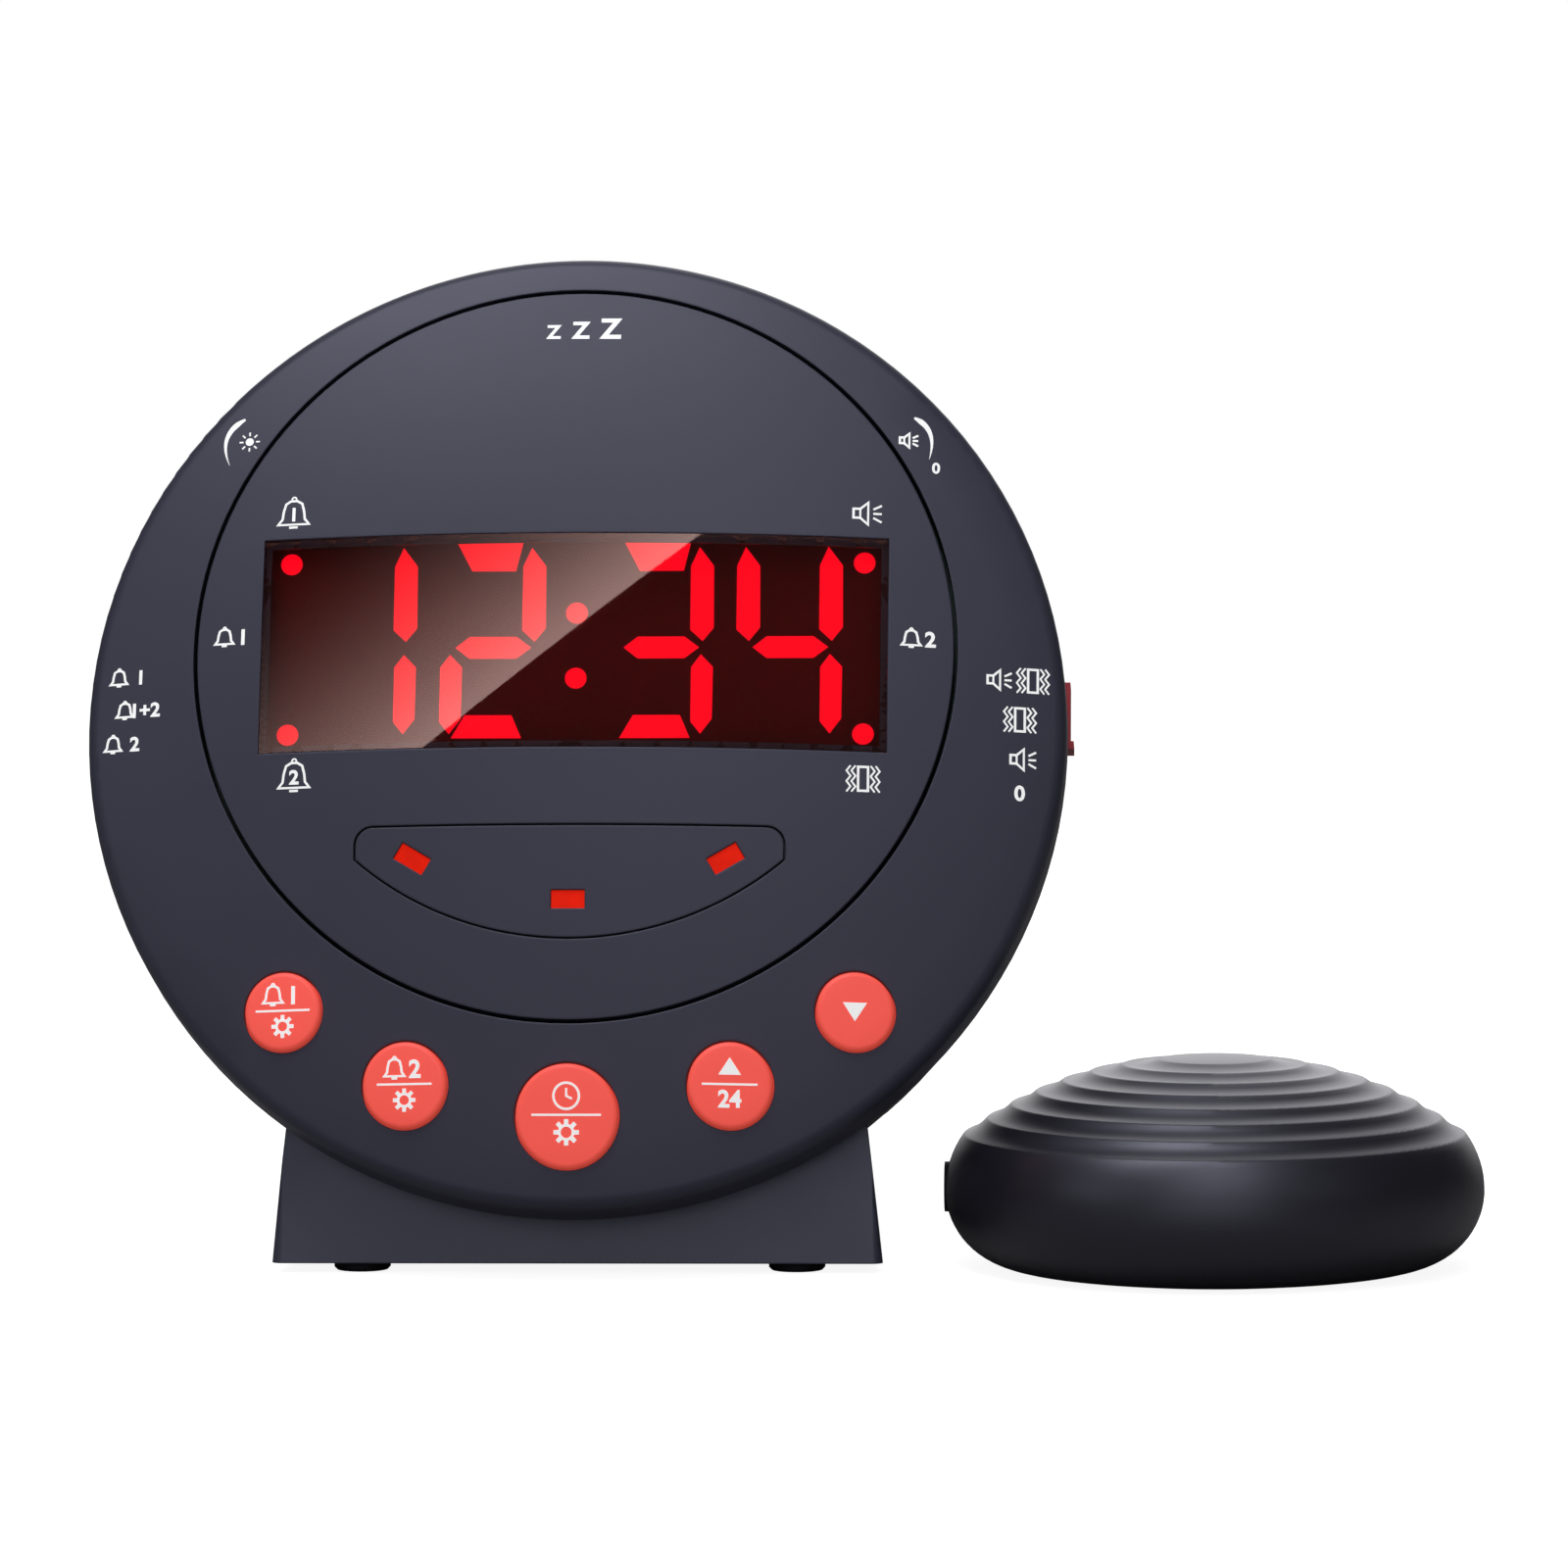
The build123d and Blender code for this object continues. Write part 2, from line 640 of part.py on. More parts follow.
with BuildPart() as rear_housing:
    drum(0, 0)
    pillar(0, 0, seam_flange_r, -seam_flange_t, 0)
    pillar(0, 0, tongue_r, 0, tongue_high)
    pillar(0, 0, tongue_r - tongue_wall, 0, tongue_high, Mode.SUBTRACT)
    add(rear_hollow.part, mode=Mode.SUBTRACT)
    for x, u in housing_posts:
        pillar(x, u, well_r, -head_depth - overrun, well_floor, Mode.SUBTRACT)
        pillar(x, u, screw_r + fit_gap, well_floor, post_low, Mode.SUBTRACT)
    brick((-bay_x, bay_x), bay_u_span, (-head_depth - overrun, bay_floor), Mode.SUBTRACT)
    brick(
        (-door_x - fit_gap, door_x + fit_gap),
        (door_u_span[0] - door_knuckle_r - rest_gap, door_u_span[1] + fit_gap),
        (-head_depth - overrun, -head_depth + door_t + fit_gap),
        Mode.SUBTRACT,
    )
    pin_reach = door_x + door_pin_l
    cross_bar((-pin_reach, pin_reach), door_hinge_u, door_hinge_level, door_pin_r + slip, Mode.SUBTRACT)
    with BuildSketch(head_plane(-head_depth, 0, speaker_u)) as slots:
        for index in range(grille_slots):
            across = (2 * index + 1 - grille_slots) / grille_slots * grille_r
            with Locations((0, across)):
                SlotOverall(2 * sqrt(grille_r**2 - across**2), grille_slot_w)
    extrude(slots.sketch, amount=shell, mode=Mode.SUBTRACT)
    for angle in speaker_screw_degrees:
        x, u = around(speaker_screw_r, angle)
        boss_top = back_inner + speaker_flange_t
        pillar(x, u + speaker_u, board_screw_r + slip, boss_top - shell, boss_top, Mode.SUBTRACT)
    pillar(socket_x, power_u, power_nose_r + fit_gap, -head_depth, back_inner, Mode.SUBTRACT)
    pillar(socket_x, shaker_jack_u, socket_nose_r + fit_gap, -head_depth, back_inner, Mode.SUBTRACT)
    for angle in wheel_degrees.values():
        x, u = around(wheel_ring_r, angle)
        pillar(x, u, wheel_r + wheel_gap, wheel_low - wheel_gap, wheel_high + wheel_gap, Mode.SUBTRACT)
    for name, (side, rest_u, lowest, highest) in sliders.items():
        half_cap = slider_cap_h / 2 + wheel_gap
        pocket = (slider_level - half_cap, slider_level + half_cap)
        brick((side * slider_seat_x, side * disc_r), slider_u_span(name, wheel_gap), pocket, Mode.SUBTRACT)
        half_slot = slider_tongue[1] / 2 + rest_gap
        slot = (slider_level - half_slot, slider_level + half_slot)
        slot_x = (side * (slider_seat_x - 2 * seat_wall), side * disc_r)
        brick(slot_x, tongue_u_span(name, rest_gap), slot, Mode.SUBTRACT)
    for side in (-1, 1):
        bore = (-disc_r, head_boss_top_u - screw_r)
        up_bar(side * head_screw_x, bore, head_screw_level, screw_r + slip, Mode.SUBTRACT)
save(rear_housing, "rear_housing")

with BuildPart() as housing_screws:
    for x, u in housing_posts:
        pillar(x, u, screw_r, well_floor, post_low + thread_depth - overrun)
        pillar(x, u, screw_head_r, well_floor - screw_head_t, well_floor)
save(housing_screws, "housing_screws")

# Thumb wheels at the rim and the controls on the board that they turn
wheel_knurls = 24
knurl_r = 0.5


def make_wheel(name, angle):
    """Thumb wheel that turns on the spindle of its control."""
    x, u = around(wheel_ring_r, angle)
    spindle_low = wheel_low - rest_gap
    with BuildPart() as wheel:
        pillar(x, u, wheel_r, wheel_low, wheel_high)
        with Locations(head_plane(wheel_low, x, u)):
            with PolarLocations(wheel_r, wheel_knurls):
                Cylinder(knurl_r, wheel_t, align=from_low, mode=Mode.SUBTRACT)
        pillar(x, u, spindle_r + slip, wheel_low, wheel_high, Mode.SUBTRACT)
    save(wheel, f"{name}_wheel")
    with BuildPart() as control:
        pillar(x, u, control_r, board_low - pot_t, board_low)
        pillar(x, u, spindle_r, spindle_low, board_low - pot_t)
        pillar(x, u, 2 * spindle_r, spindle_low - screw_head_t, spindle_low)
    save(control, f"{name}_control")


for name, angle in wheel_degrees.items():
    make_wheel(name, angle)

# Slide switches at the sides: the knob outside carries a tongue into the switch body
switch_in_x = 55.0
switch_wall = 1.5


def make_slider(name, side, rest_u):
    """Knob and switch body of one slide switch."""
    half_l = slider_cap_l / 2
    half_tongue = slider_tongue[1] / 2
    body_out_x = slider_seat_x - seat_wall - rest_gap
    with BuildPart() as knob:
        cap_levels = (slider_level - slider_cap_h / 2, slider_level + slider_cap_h / 2)
        cap_in_x = slider_seat_x + rest_gap
        brick((side * cap_in_x, side * slider_reach), (rest_u - half_l, rest_u + half_l), cap_levels)
        ridge_x = (side * cap_in_x, side * (slider_reach + ridge_h))
        brick(ridge_x, (rest_u - half_l, rest_u - half_l + ridge_w), cap_levels)
        stem_x = (side * (switch_in_x + switch_wall + rest_gap), side * cap_in_x)
        stem_u = (rest_u - slider_tongue[0] / 2, rest_u + slider_tongue[0] / 2)
        brick(stem_x, stem_u, (slider_level - half_tongue, slider_level + half_tongue))
    save(knob, f"{name}_knob")
    with BuildPart() as switch_body:
        body_x = (side * switch_in_x, side * body_out_x)
        body_levels = (slider_level - slider_cap_h / 2 - switch_wall, board_low)
        brick(body_x, tongue_u_span(name, 2 * seat_wall), body_levels)
        channel_x = (side * (switch_in_x + switch_wall), side * body_out_x)
        channel = (slider_level - half_tongue - rest_gap, slider_level + half_tongue + rest_gap)
        brick(channel_x, tongue_u_span(name, rest_gap), channel, Mode.SUBTRACT)
    save(switch_body, f"{name}_switch")


for name, (side, rest_u, lowest, highest) in sliders.items():
    make_slider(name, side, rest_u)

# Loudspeaker behind the slots of the rear face
magnet_r = 13.5
magnet_t = 6.0
basket_h = 9.0
basket_wall = 1.0
cone_r = 21.0
cone_throat_r = 6.0
cone_h = 6.0
cone_t = 0.6
speaker_origin = face.from_local_coords(Vector(0, speaker_u, 0))
speaker_section = Plane(origin=speaker_origin, x_dir=(1, 0, 0), z_dir=face_up * -1)
speaker_axis = Axis(speaker_origin, outward)
basket_low = back_inner + speaker_flange_t
basket_top = basket_low + basket_h
throat_top = basket_low + cone_h

with BuildPart() as speaker_frame:
    with BuildSketch(speaker_section) as section:
        with BuildLine():
            Polyline(
                (0, basket_top - basket_wall),
                (magnet_r - basket_wall, basket_top - basket_wall),
                (cone_r + basket_wall, basket_low),
                (cone_r + basket_wall, back_inner),
                (speaker_r, back_inner),
                (speaker_r, basket_low),
                (cone_r + 3 * basket_wall, basket_low),
                (magnet_r, basket_top),
                (magnet_r, basket_top + magnet_t),
                (0, basket_top + magnet_t),
                close=True,
            )
        make_face()
    revolve(section.sketch, axis=speaker_axis)
save(speaker_frame, "speaker_frame")

with BuildPart() as speaker_cone:
    with BuildSketch(speaker_section) as section:
        with BuildLine():
            Polyline(
                (0, throat_top),
                (cone_throat_r, throat_top),
                (cone_r, basket_low - cone_t),
                (cone_r + basket_wall, basket_low - cone_t),
                (cone_r + basket_wall, basket_low),
                (cone_r, basket_low),
                (cone_throat_r + cone_t, throat_top + cone_t),
                (cone_throat_r + cone_t, basket_top - basket_wall),
                (0, basket_top - basket_wall),
                close=True,
            )
        make_face()
    revolve(section.sketch, axis=speaker_axis)
save(speaker_cone, "speaker_cone")

with BuildPart() as speaker_screws:
    for angle in speaker_screw_degrees:
        x, u = around(speaker_screw_r, angle)
        pillar(x, u + speaker_u, board_screw_r, basket_low - speaker_flange_t, basket_low)
        pillar(x, u + speaker_u, speaker_head_r, basket_low, basket_low + screw_head_t)
save(speaker_screws, "speaker_screws")

# Battery door with its hinge knuckle, the two back-up cells and their contacts
door_rib_shares = (-0.6, -0.3, 0, 0.3, 0.6)
door_rib_h = 0.4
door_rib_w = 1.0
latch_w = 10.0
latch_h = 3.0
latch_t = 1.0
with BuildPart() as battery_door:
    door_levels = (-head_depth, -head_depth + door_t)
    brick((-door_x, door_x), door_u_span, door_levels)
    cross_bar((-door_x, door_x), door_hinge_u, door_hinge_level, door_knuckle_r)
    pin_reach = door_x + door_pin_l - rest_gap
    cross_bar((-pin_reach, pin_reach), door_hinge_u, door_hinge_level, door_pin_r)
    latch_u = (bay_u_span[1] - rest_gap - latch_t, bay_u_span[1] - rest_gap)
    latch_level = -head_depth + door_t
    brick((-latch_w / 2, latch_w / 2), latch_u, (latch_level, latch_level + rest_gap / 2))
    for share in door_rib_shares:
        rib_x = share * bay_x
        rib_u = (bay_u_span[1] - 2 * latch_h, bay_u_span[1] - latch_h / 2)
        rib = (rib_x - door_rib_w / 2, rib_x + door_rib_w / 2)
        brick(rib, rib_u, (-head_depth, -head_depth + door_rib_h), Mode.SUBTRACT)
save(battery_door, "battery_door")

cell_level = -head_depth + door_t + rest_gap / 2 + fit_gap + cell_r
cell_tip_r = 1.9
cell_tip_l = 0.8
cell_us = (bay_centre_u - cell_r - fit_gap, bay_centre_u + cell_r + fit_gap)
with BuildPart() as backup_cells:
    for side, u in zip((-1, 1), cell_us):
        can = (-side * cell_l / 2, side * (cell_l / 2 - cell_tip_l))
        cross_bar(can, u, cell_level, cell_r)
        cross_bar((side * (cell_l / 2 - cell_tip_l), side * cell_l / 2), u, cell_level, cell_tip_r)
save(backup_cells, "backup_cells")

contact_t = 0.4
contact_r = 3.0
with BuildPart() as battery_contacts:
    for u in cell_us:
        for side in (-1, 1):
            plate = (side * (bay_x - contact_t), side * bay_x)
            half = cell_r - fit_gap
            brick(plate, (u - half, u + half), (cell_level - half, bay_floor - fit_gap))
            spring = (side * (cell_l / 2), side * (bay_x - contact_t))
            cross_bar(spring, u, cell_level, contact_r)
save(battery_contacts, "battery_contacts")

# Sockets at the back, on a small board of their own
socket_w = 11.0
socket_top = -16.0
jack_r = 1.8
jack_l = 12.0
power_bore_r = 2.9
power_pin_r = 1.0
power_l = 9.0


def socket_block(u, nose_r):
    """Block behind the rear wall, with a round nose through it."""
    half = socket_w / 2
    brick((socket_x - half, socket_x + half), (u - half, u + half), (back_inner, socket_top))
    pillar(socket_x, u, nose_r, -head_depth, back_inner)


with BuildPart() as power_socket:
    socket_block(power_u, power_nose_r)
    pillar(socket_x, power_u, power_bore_r, -head_depth, power_l - head_depth, Mode.SUBTRACT)
    pillar(socket_x, power_u, power_pin_r, overrun - head_depth, power_l - head_depth)
save(power_socket, "power_socket")

with BuildPart() as shaker_socket:
    socket_block(shaker_jack_u, socket_nose_r)
    pillar(socket_x, shaker_jack_u, jack_r, -head_depth, jack_l - head_depth, Mode.SUBTRACT)
save(shaker_socket, "shaker_socket")

with BuildPart() as socket_board:
    board_half = socket_w / 2 + overrun
    brick(
        (socket_x - board_half, socket_x + board_half),
        (shaker_jack_u - board_half, power_u + board_half),
        (socket_top, socket_top + board_t),
    )
save(socket_board, "socket_board")

# Stand: hollow plinth whose top is a saddle for the drum, closed by a base plate on four feet
stand_h = 32.5
slope_top_y = 20.0
slope_low_z = 7.0
plan_taper = 6.0
corner_round = 1.5
plate_t = 1.8
plate_gap = 0.4
plate_boss_r = 3.0
plate_places = ((35.0, 10.0), (20.0, 32.0))
foot_places = ((31.2, -7.6), (31.2, 31.0))
stand_back = stand_depth - stand_front


def plan(inset):
    """Plan of the stand, narrower at the back, on the current sketch."""
    front = head_y - stand_front + inset
    back = head_y + stand_back - inset
    front_half = stand_w / 2 - inset
    back_half = front_half - (stand_depth - 2 * inset) * tan(radians(plan_taper))
    Polygon(
        (head_x - front_half, front),
        (head_x + front_half, front),
        (head_x + back_half, back),
        (head_x - back_half, back),
        align=None,
    )


def plinth(inset, low, high):
    """Tapered block of the stand, with its sloping rear, inset all round."""
    with BuildSketch(Plane.XY.offset(low)) as foot_plan:
        plan(inset)
        fillet(foot_plan.vertices(), corner_round)
    extrude(foot_plan.sketch, amount=high - low, taper=stand_draft)
    top_z = foot_h + stand_h
    back = head_y + stand_depth
    with BuildSketch(Plane.YZ.offset(head_x)) as slope:
        with BuildLine():
            Polyline(
                (head_y + slope_top_y - inset, top_z),
                (head_y + stand_back - inset, slope_low_z),
                (back, slope_low_z),
                (back, top_z + overrun),
                (head_y + slope_top_y - inset, top_z + overrun),
                close=True,
            )
        make_face()
    extrude(slope.sketch, amount=stand_w, both=True, mode=Mode.SUBTRACT)


def stand_post(x, y, radius, low, high, mode=Mode.ADD):
    """Upright post of the stand, placed from the centre of the disc."""
    with Locations((head_x + x, head_y + y, low)):
        Cylinder(radius, high - low, align=from_low, mode=mode)


plate_top = foot_h + plate_t
with BuildPart() as stand_hollow:
    plinth(stand_wall, foot_h - overrun, foot_h + stand_h)
    drum(stand_wall, dome_apex, Mode.SUBTRACT)
    for side in (-1, 1):
        for x, y in plate_places:
            stand_post(side * x, y, plate_boss_r, plate_top, foot_h + stand_h, Mode.SUBTRACT)
        boss = (head_screw_seat_u, head_boss_top_u)
        up_bar(side * head_screw_x, boss, head_screw_level, head_boss_r, Mode.SUBTRACT)

with BuildPart() as stand:
    plinth(0, foot_h, foot_h + stand_h)
    drum(0, dome_apex, Mode.SUBTRACT)
    add(stand_hollow.part, mode=Mode.SUBTRACT)
    with BuildSketch(Plane.XY.offset(foot_h)) as plate_room:
        plan(stand_wall)
    extrude(plate_room.sketch, amount=plate_t, mode=Mode.SUBTRACT)
    for side in (-1, 1):
        for x, y in plate_places:
            stand_post(
                side * x, y, board_screw_r + slip, plate_top, plate_top + thread_depth, Mode.SUBTRACT
            )
        bore = (head_screw_seat_u, head_boss_top_u)
        up_bar(side * head_screw_x, bore, head_screw_level, screw_r + fit_gap, Mode.SUBTRACT)
save(stand, "stand")

with BuildPart() as head_screws:
    for side in (-1, 1):
        shank = (head_screw_seat_u, head_boss_top_u - 2 * screw_r)
        up_bar(side * head_screw_x, shank, head_screw_level, screw_r)
        cap = (head_screw_seat_u - screw_head_t, head_screw_seat_u)
        up_bar(side * head_screw_x, cap, head_screw_level, screw_head_r)
save(head_screws, "head_screws")

with BuildPart() as stand_base_plate:
    with BuildSketch(Plane.XY.offset(foot_h)) as plate:
        plan(stand_wall + plate_gap)
        fillet(plate.vertices(), corner_round)
    extrude(amount=plate_t)
    for side in (-1, 1):
        for x, y in plate_places:
            stand_post(side * x, y, board_screw_r + fit_gap, foot_h, plate_top, Mode.SUBTRACT)
            stand_post(side * x, y, board_head_r + fit_gap, foot_h, foot_h + plate_t / 2, Mode.SUBTRACT)
save(stand_base_plate, "stand_base_plate")

with BuildPart() as stand_screws:
    for side in (-1, 1):
        for x, y in plate_places:
            stand_post(side * x, y, board_screw_r, foot_h + plate_t / 2, plate_top + thread_depth - overrun)
            stand_post(side * x, y, board_head_r, foot_h, foot_h + plate_t / 2)
save(stand_screws, "stand_screws")

foot_chamfer = 0.4
with BuildPart() as rubber_feet:
    for side in (-1, 1):
        for x, y in foot_places:
            stand_post(side * x, y, foot_r, 0, foot_h)
    chamfer(rubber_feet.faces().group_by(Axis.Z)[0].edges(), foot_chamfer)
save(rubber_feet, "rubber_feet")

# Shaker: two shells with a rippled dome, and an eccentric weight on a small motor
ring_r = 35.8  # outermost ripple
ring_count = 8
ring_power_share = 0.724  # ripples crowd towards the edge
shoulder_z = 19.2
dome_power_share = 2.4  # how the dome falls away from its top
ripple_dip = 0.35  # how deep each ripple is scooped into the dome
ripple_round = 0.8  # rounding of the crests between the ripples
shaker_base_r = 28.0
shaker_base_z = 0.3
pad_r = 26.5
pad_t = 1.0
gland_z = 11.4
gland_r = 3.6
gland_bore_r = 2.0
gland_l = 6.2
gland_proud = 0.1
shaker_screw_ring_r = 22.0
shaker_screw_degrees = (60.0, 180.0, 300.0)
shaker_screw_shank_r = 1.4
shaker_boss_r = 3.0
shaker_well_r = 3.0
shaker_boss_z = 6.0
well_top_z = 3.6
lap_wall = 1.2
lap_h = 1.7

base_reach = shaker_r - shaker_base_r
base_rise = waist_z - shaker_base_z
lower_arc_r = (base_reach**2 + base_rise**2) / (2 * base_reach)
shoulder_reach = shaker_r - ring_r
shoulder_rise = shoulder_z - waist_z
upper_arc_r = (shoulder_reach**2 + shoulder_rise**2) / (2 * shoulder_reach)


def ripple_point(radius):
    """Point of the smooth dome at a radius from the shaker's axis."""
    return radius, shaker_h - (shaker_h - shoulder_z) * (radius / ring_r) ** dome_power_share


def side_point(arc_r, inset, height):
    """Point of the shaker's rounded side at a height, inset by a wall."""
    return shaker_r - arc_r + sqrt((arc_r - inset) ** 2 - (height - waist_z) ** 2), height


def side_lines(inset, low_z, high_z):
    """Rounded side of the shaker from its base to its shoulder."""
    low = side_point(lower_arc_r, inset, low_z)
    low_mid = side_point(lower_arc_r, inset, (low_z + 2 * waist_z) / 3)
    waist = (shaker_r - inset, waist_z)
    high_mid = side_point(upper_arc_r, inset, (waist_z + high_z) / 2)
    high = side_point(upper_arc_r, inset, high_z)
    ThreePointArc(low, low_mid, waist)
    ThreePointArc(waist, high_mid, high)
    return low, high


with BuildPart() as shaker_form:
    with BuildSketch(shaker_section) as section:
        with BuildLine():
            low, high = side_lines(0, shaker_base_z, shoulder_z)
            shares = [(index / ring_count) ** ring_power_share for index in range(ring_count + 1)]
            rings = [ripple_point(ring_r * share) for share in shares]
            ThreePointArc(rings[0], ripple_point(rings[1][0] / 2), rings[1])
            for inner, outer in zip(rings[1:], rings[2:]):
                SagittaArc(inner, outer, -ripple_dip)
            Line((0, shaker_h), (0, shaker_base_z))
            Line((0, shaker_base_z), low)
        make_face()
        crests = section.vertices().filter_by_position(Axis.Y, shoulder_z - fit_gap, rings[1][1] + fit_gap)
        fillet(crests, ripple_round)
    revolve(section.sketch, axis=shaker_axis)

with BuildPart() as shaker_hollow:
    with BuildSketch(shaker_section) as section:
        with BuildLine():
            inner_shoulder_z = shoulder_z - shaker_wall / 2
            low, high = side_lines(shaker_wall, shaker_base_z + shaker_wall, inner_shoulder_z)
            inner_top = shaker_h - shaker_wall - ripple_dip
            mid_r, mid_z = ripple_point(ring_r / 2)
            ThreePointArc(high, (mid_r, mid_z - shaker_wall - ripple_dip), (0, inner_top))
            Line((0, inner_top), (0, shaker_base_z + shaker_wall))
            Line((0, shaker_base_z + shaker_wall), low)
        make_face()
    revolve(section.sketch, axis=shaker_axis)


def shaker_post(place, radius, low, high, mode=Mode.ADD):
    """Upright post of the shaker, placed from its axis."""
    with Locations((shaker_x + place[0], shaker_y + place[1], low)):
        Cylinder(radius, high - low, align=from_low, mode=mode)


def shaker_bar(x_span, z, radius, mode=Mode.ADD):
    """Round bar along X through the shaker's axis."""
    with Locations(Plane(origin=(shaker_x + x_span[0], shaker_y, z), z_dir=(1, 0, 0))):
        Cylinder(radius, x_span[1] - x_span[0], align=from_low, mode=mode)


def across_shaker(x):
    """Upright plane across the motor's axis, with its origin on the table."""
    return Plane(origin=(shaker_x + x, shaker_y, 0), x_dir=(0, 1, 0), z_dir=(1, 0, 0))


def keep_between(low, high):
    """Keep only what lies between two heights of the shaker."""
    with Locations((shaker_x, shaker_y, low)):
        Box(3 * shaker_r, 3 * shaker_r, high - low, align=from_low, mode=Mode.INTERSECT)


gland_span = (-shaker_r - gland_proud, gland_l - shaker_r - gland_proud)
shaker_bosses = [around(shaker_screw_ring_r, angle) for angle in shaker_screw_degrees]

with BuildPart() as shaker_top_hollow:
    add(shaker_hollow.part)
    for place in shaker_bosses:
        shaker_post(place, shaker_boss_r, shaker_boss_z, shaker_h, Mode.SUBTRACT)

with BuildPart() as shaker_top_shell:
    add(shaker_form.part)
    keep_between(parting_z, shaker_h + overrun)
    add(shaker_top_hollow.part, mode=Mode.SUBTRACT)
    for place in shaker_bosses:
        shaker_post(place, shaker_boss_r, shaker_boss_z, parting_z + overrun)
        shaker_post(
            place, shaker_screw_shank_r + slip, shaker_boss_z, shaker_boss_z + thread_depth, Mode.SUBTRACT
        )
    shaker_bar(gland_span, gland_z, gland_r, Mode.SUBTRACT)
save(shaker_top_shell, "shaker_top_shell")

# Motor, its cradle and clamp, and the half-round weight that hangs down at rest
motor_r = 10.5
motor_z = 14.3
motor_span = (-16.0, 9.0)
motor_shaft_r = 1.25
shaft_end = 20.0
cradle_xs = (-12.0, 5.0)
cradle_t = 2.0
cradle_w = 11.0  # half its width
cradle_z = 9.0
clamp_span = (-8.0, 0)
clamp_t = 1.2
clamp_foot_t = 1.5
clamp_foot_y = 19.0
clamp_screw_y = 15.2
weight_span = (11.0, 19.0)
weight_r = 10.0
weight_hub_r = 3.5
weight_round = 0.5
floor_z = shaker_base_z + shaker_wall
clamp_x = sum(clamp_span) / 2
clamp_screws_at = [(clamp_x, -clamp_screw_y), (clamp_x, clamp_screw_y)]

with BuildPart() as shaker_bottom_shell:
    add(shaker_form.part)
    keep_between(0, parting_z)
    add(shaker_hollow.part, mode=Mode.SUBTRACT)
    lap_r = side_point(lower_arc_r, shaker_wall, parting_z)[0] - fit_gap
    shaker_post((0, 0), lap_r, parting_z - lap_h, parting_z + lap_h)
    shaker_post((0, 0), lap_r - lap_wall, parting_z - lap_h, parting_z + lap_h, Mode.SUBTRACT)
    for place in shaker_bosses:
        shaker_post(place, shaker_boss_r + lap_wall, floor_z - shaker_wall / 2, shaker_boss_z)
    for cradle_x in cradle_xs:
        with Locations((shaker_x + cradle_x, shaker_y, floor_z - shaker_wall / 2)):
            Box(cradle_t, 2 * cradle_w, cradle_z - floor_z + shaker_wall / 2, align=from_low)
    for place in clamp_screws_at:
        shaker_post(place, shaker_boss_r, floor_z - shaker_wall / 2, cradle_z)
    shaker_bar(motor_span, motor_z, motor_r, Mode.SUBTRACT)
    for place in clamp_screws_at:
        shaker_post(place, board_screw_r + slip, cradle_z - thread_depth, cradle_z, Mode.SUBTRACT)
    shaker_post((0, 0), pad_r + fit_gap, 0, pad_t, Mode.SUBTRACT)
    for place in shaker_bosses:
        shaker_post(place, shaker_well_r, 0, well_top_z, Mode.SUBTRACT)
        shaker_post(place, shaker_screw_shank_r + fit_gap, 0, shaker_boss_z, Mode.SUBTRACT)
    shaker_bar(gland_span, gland_z, gland_r, Mode.SUBTRACT)
save(shaker_bottom_shell, "shaker_bottom_shell")

with BuildPart() as shaker_base_pad:
    shaker_post((0, 0), pad_r, 0, pad_t)
    chamfer(shaker_base_pad.faces().sort_by(Axis.Z)[0].edges(), (pad_t - shaker_base_z) / 3)
save(shaker_base_pad, "shaker_base_pad")

with BuildPart() as shaker_screws:
    for place in shaker_bosses:
        shaker_post(place, shaker_screw_shank_r, well_top_z, shaker_boss_z + thread_depth - overrun)
        shaker_post(place, screw_head_r, well_top_z - screw_head_t, well_top_z)
save(shaker_screws, "shaker_screws")

with BuildPart() as cord_gland:
    shaker_bar(gland_span, gland_z, gland_r)
    shaker_bar(gland_span, gland_z, gland_bore_r, Mode.SUBTRACT)
save(cord_gland, "cord_gland")

with BuildPart() as shaker_motor:
    shaker_bar(motor_span, motor_z, motor_r)
    shaker_bar((0, motor_span[1]), motor_z, motor_shaft_r + slip, Mode.SUBTRACT)
save(shaker_motor, "shaker_motor")

with BuildPart() as motor_clamp:
    with BuildSketch(across_shaker(clamp_span[0])) as strap:
        with Locations((0, motor_z)):
            Circle(motor_r + clamp_t)
        with Locations((0, cradle_z + clamp_foot_t / 2)):
            Rectangle(2 * clamp_foot_y, clamp_foot_t)
        with Locations((0, motor_z)):
            Circle(motor_r, mode=Mode.SUBTRACT)
        with Locations((0, cradle_z / 2)):
            Rectangle(3 * motor_r, cradle_z, mode=Mode.SUBTRACT)
    extrude(amount=clamp_span[1] - clamp_span[0])
    for place in clamp_screws_at:
        shaker_post(place, board_screw_r + fit_gap, cradle_z, cradle_z + clamp_foot_t, Mode.SUBTRACT)
save(motor_clamp, "motor_clamp")

with BuildPart() as clamp_screws:
    for place in clamp_screws_at:
        shaker_post(place, board_screw_r, cradle_z - thread_depth + overrun, cradle_z + clamp_foot_t)
        shaker_post(place, board_head_r, cradle_z + clamp_foot_t, cradle_z + clamp_foot_t + screw_head_t)
save(clamp_screws, "clamp_screws")

with BuildPart() as motor_shaft:
    shaker_bar((rest_gap, shaft_end), motor_z, motor_shaft_r)
save(motor_shaft, "motor_shaft")

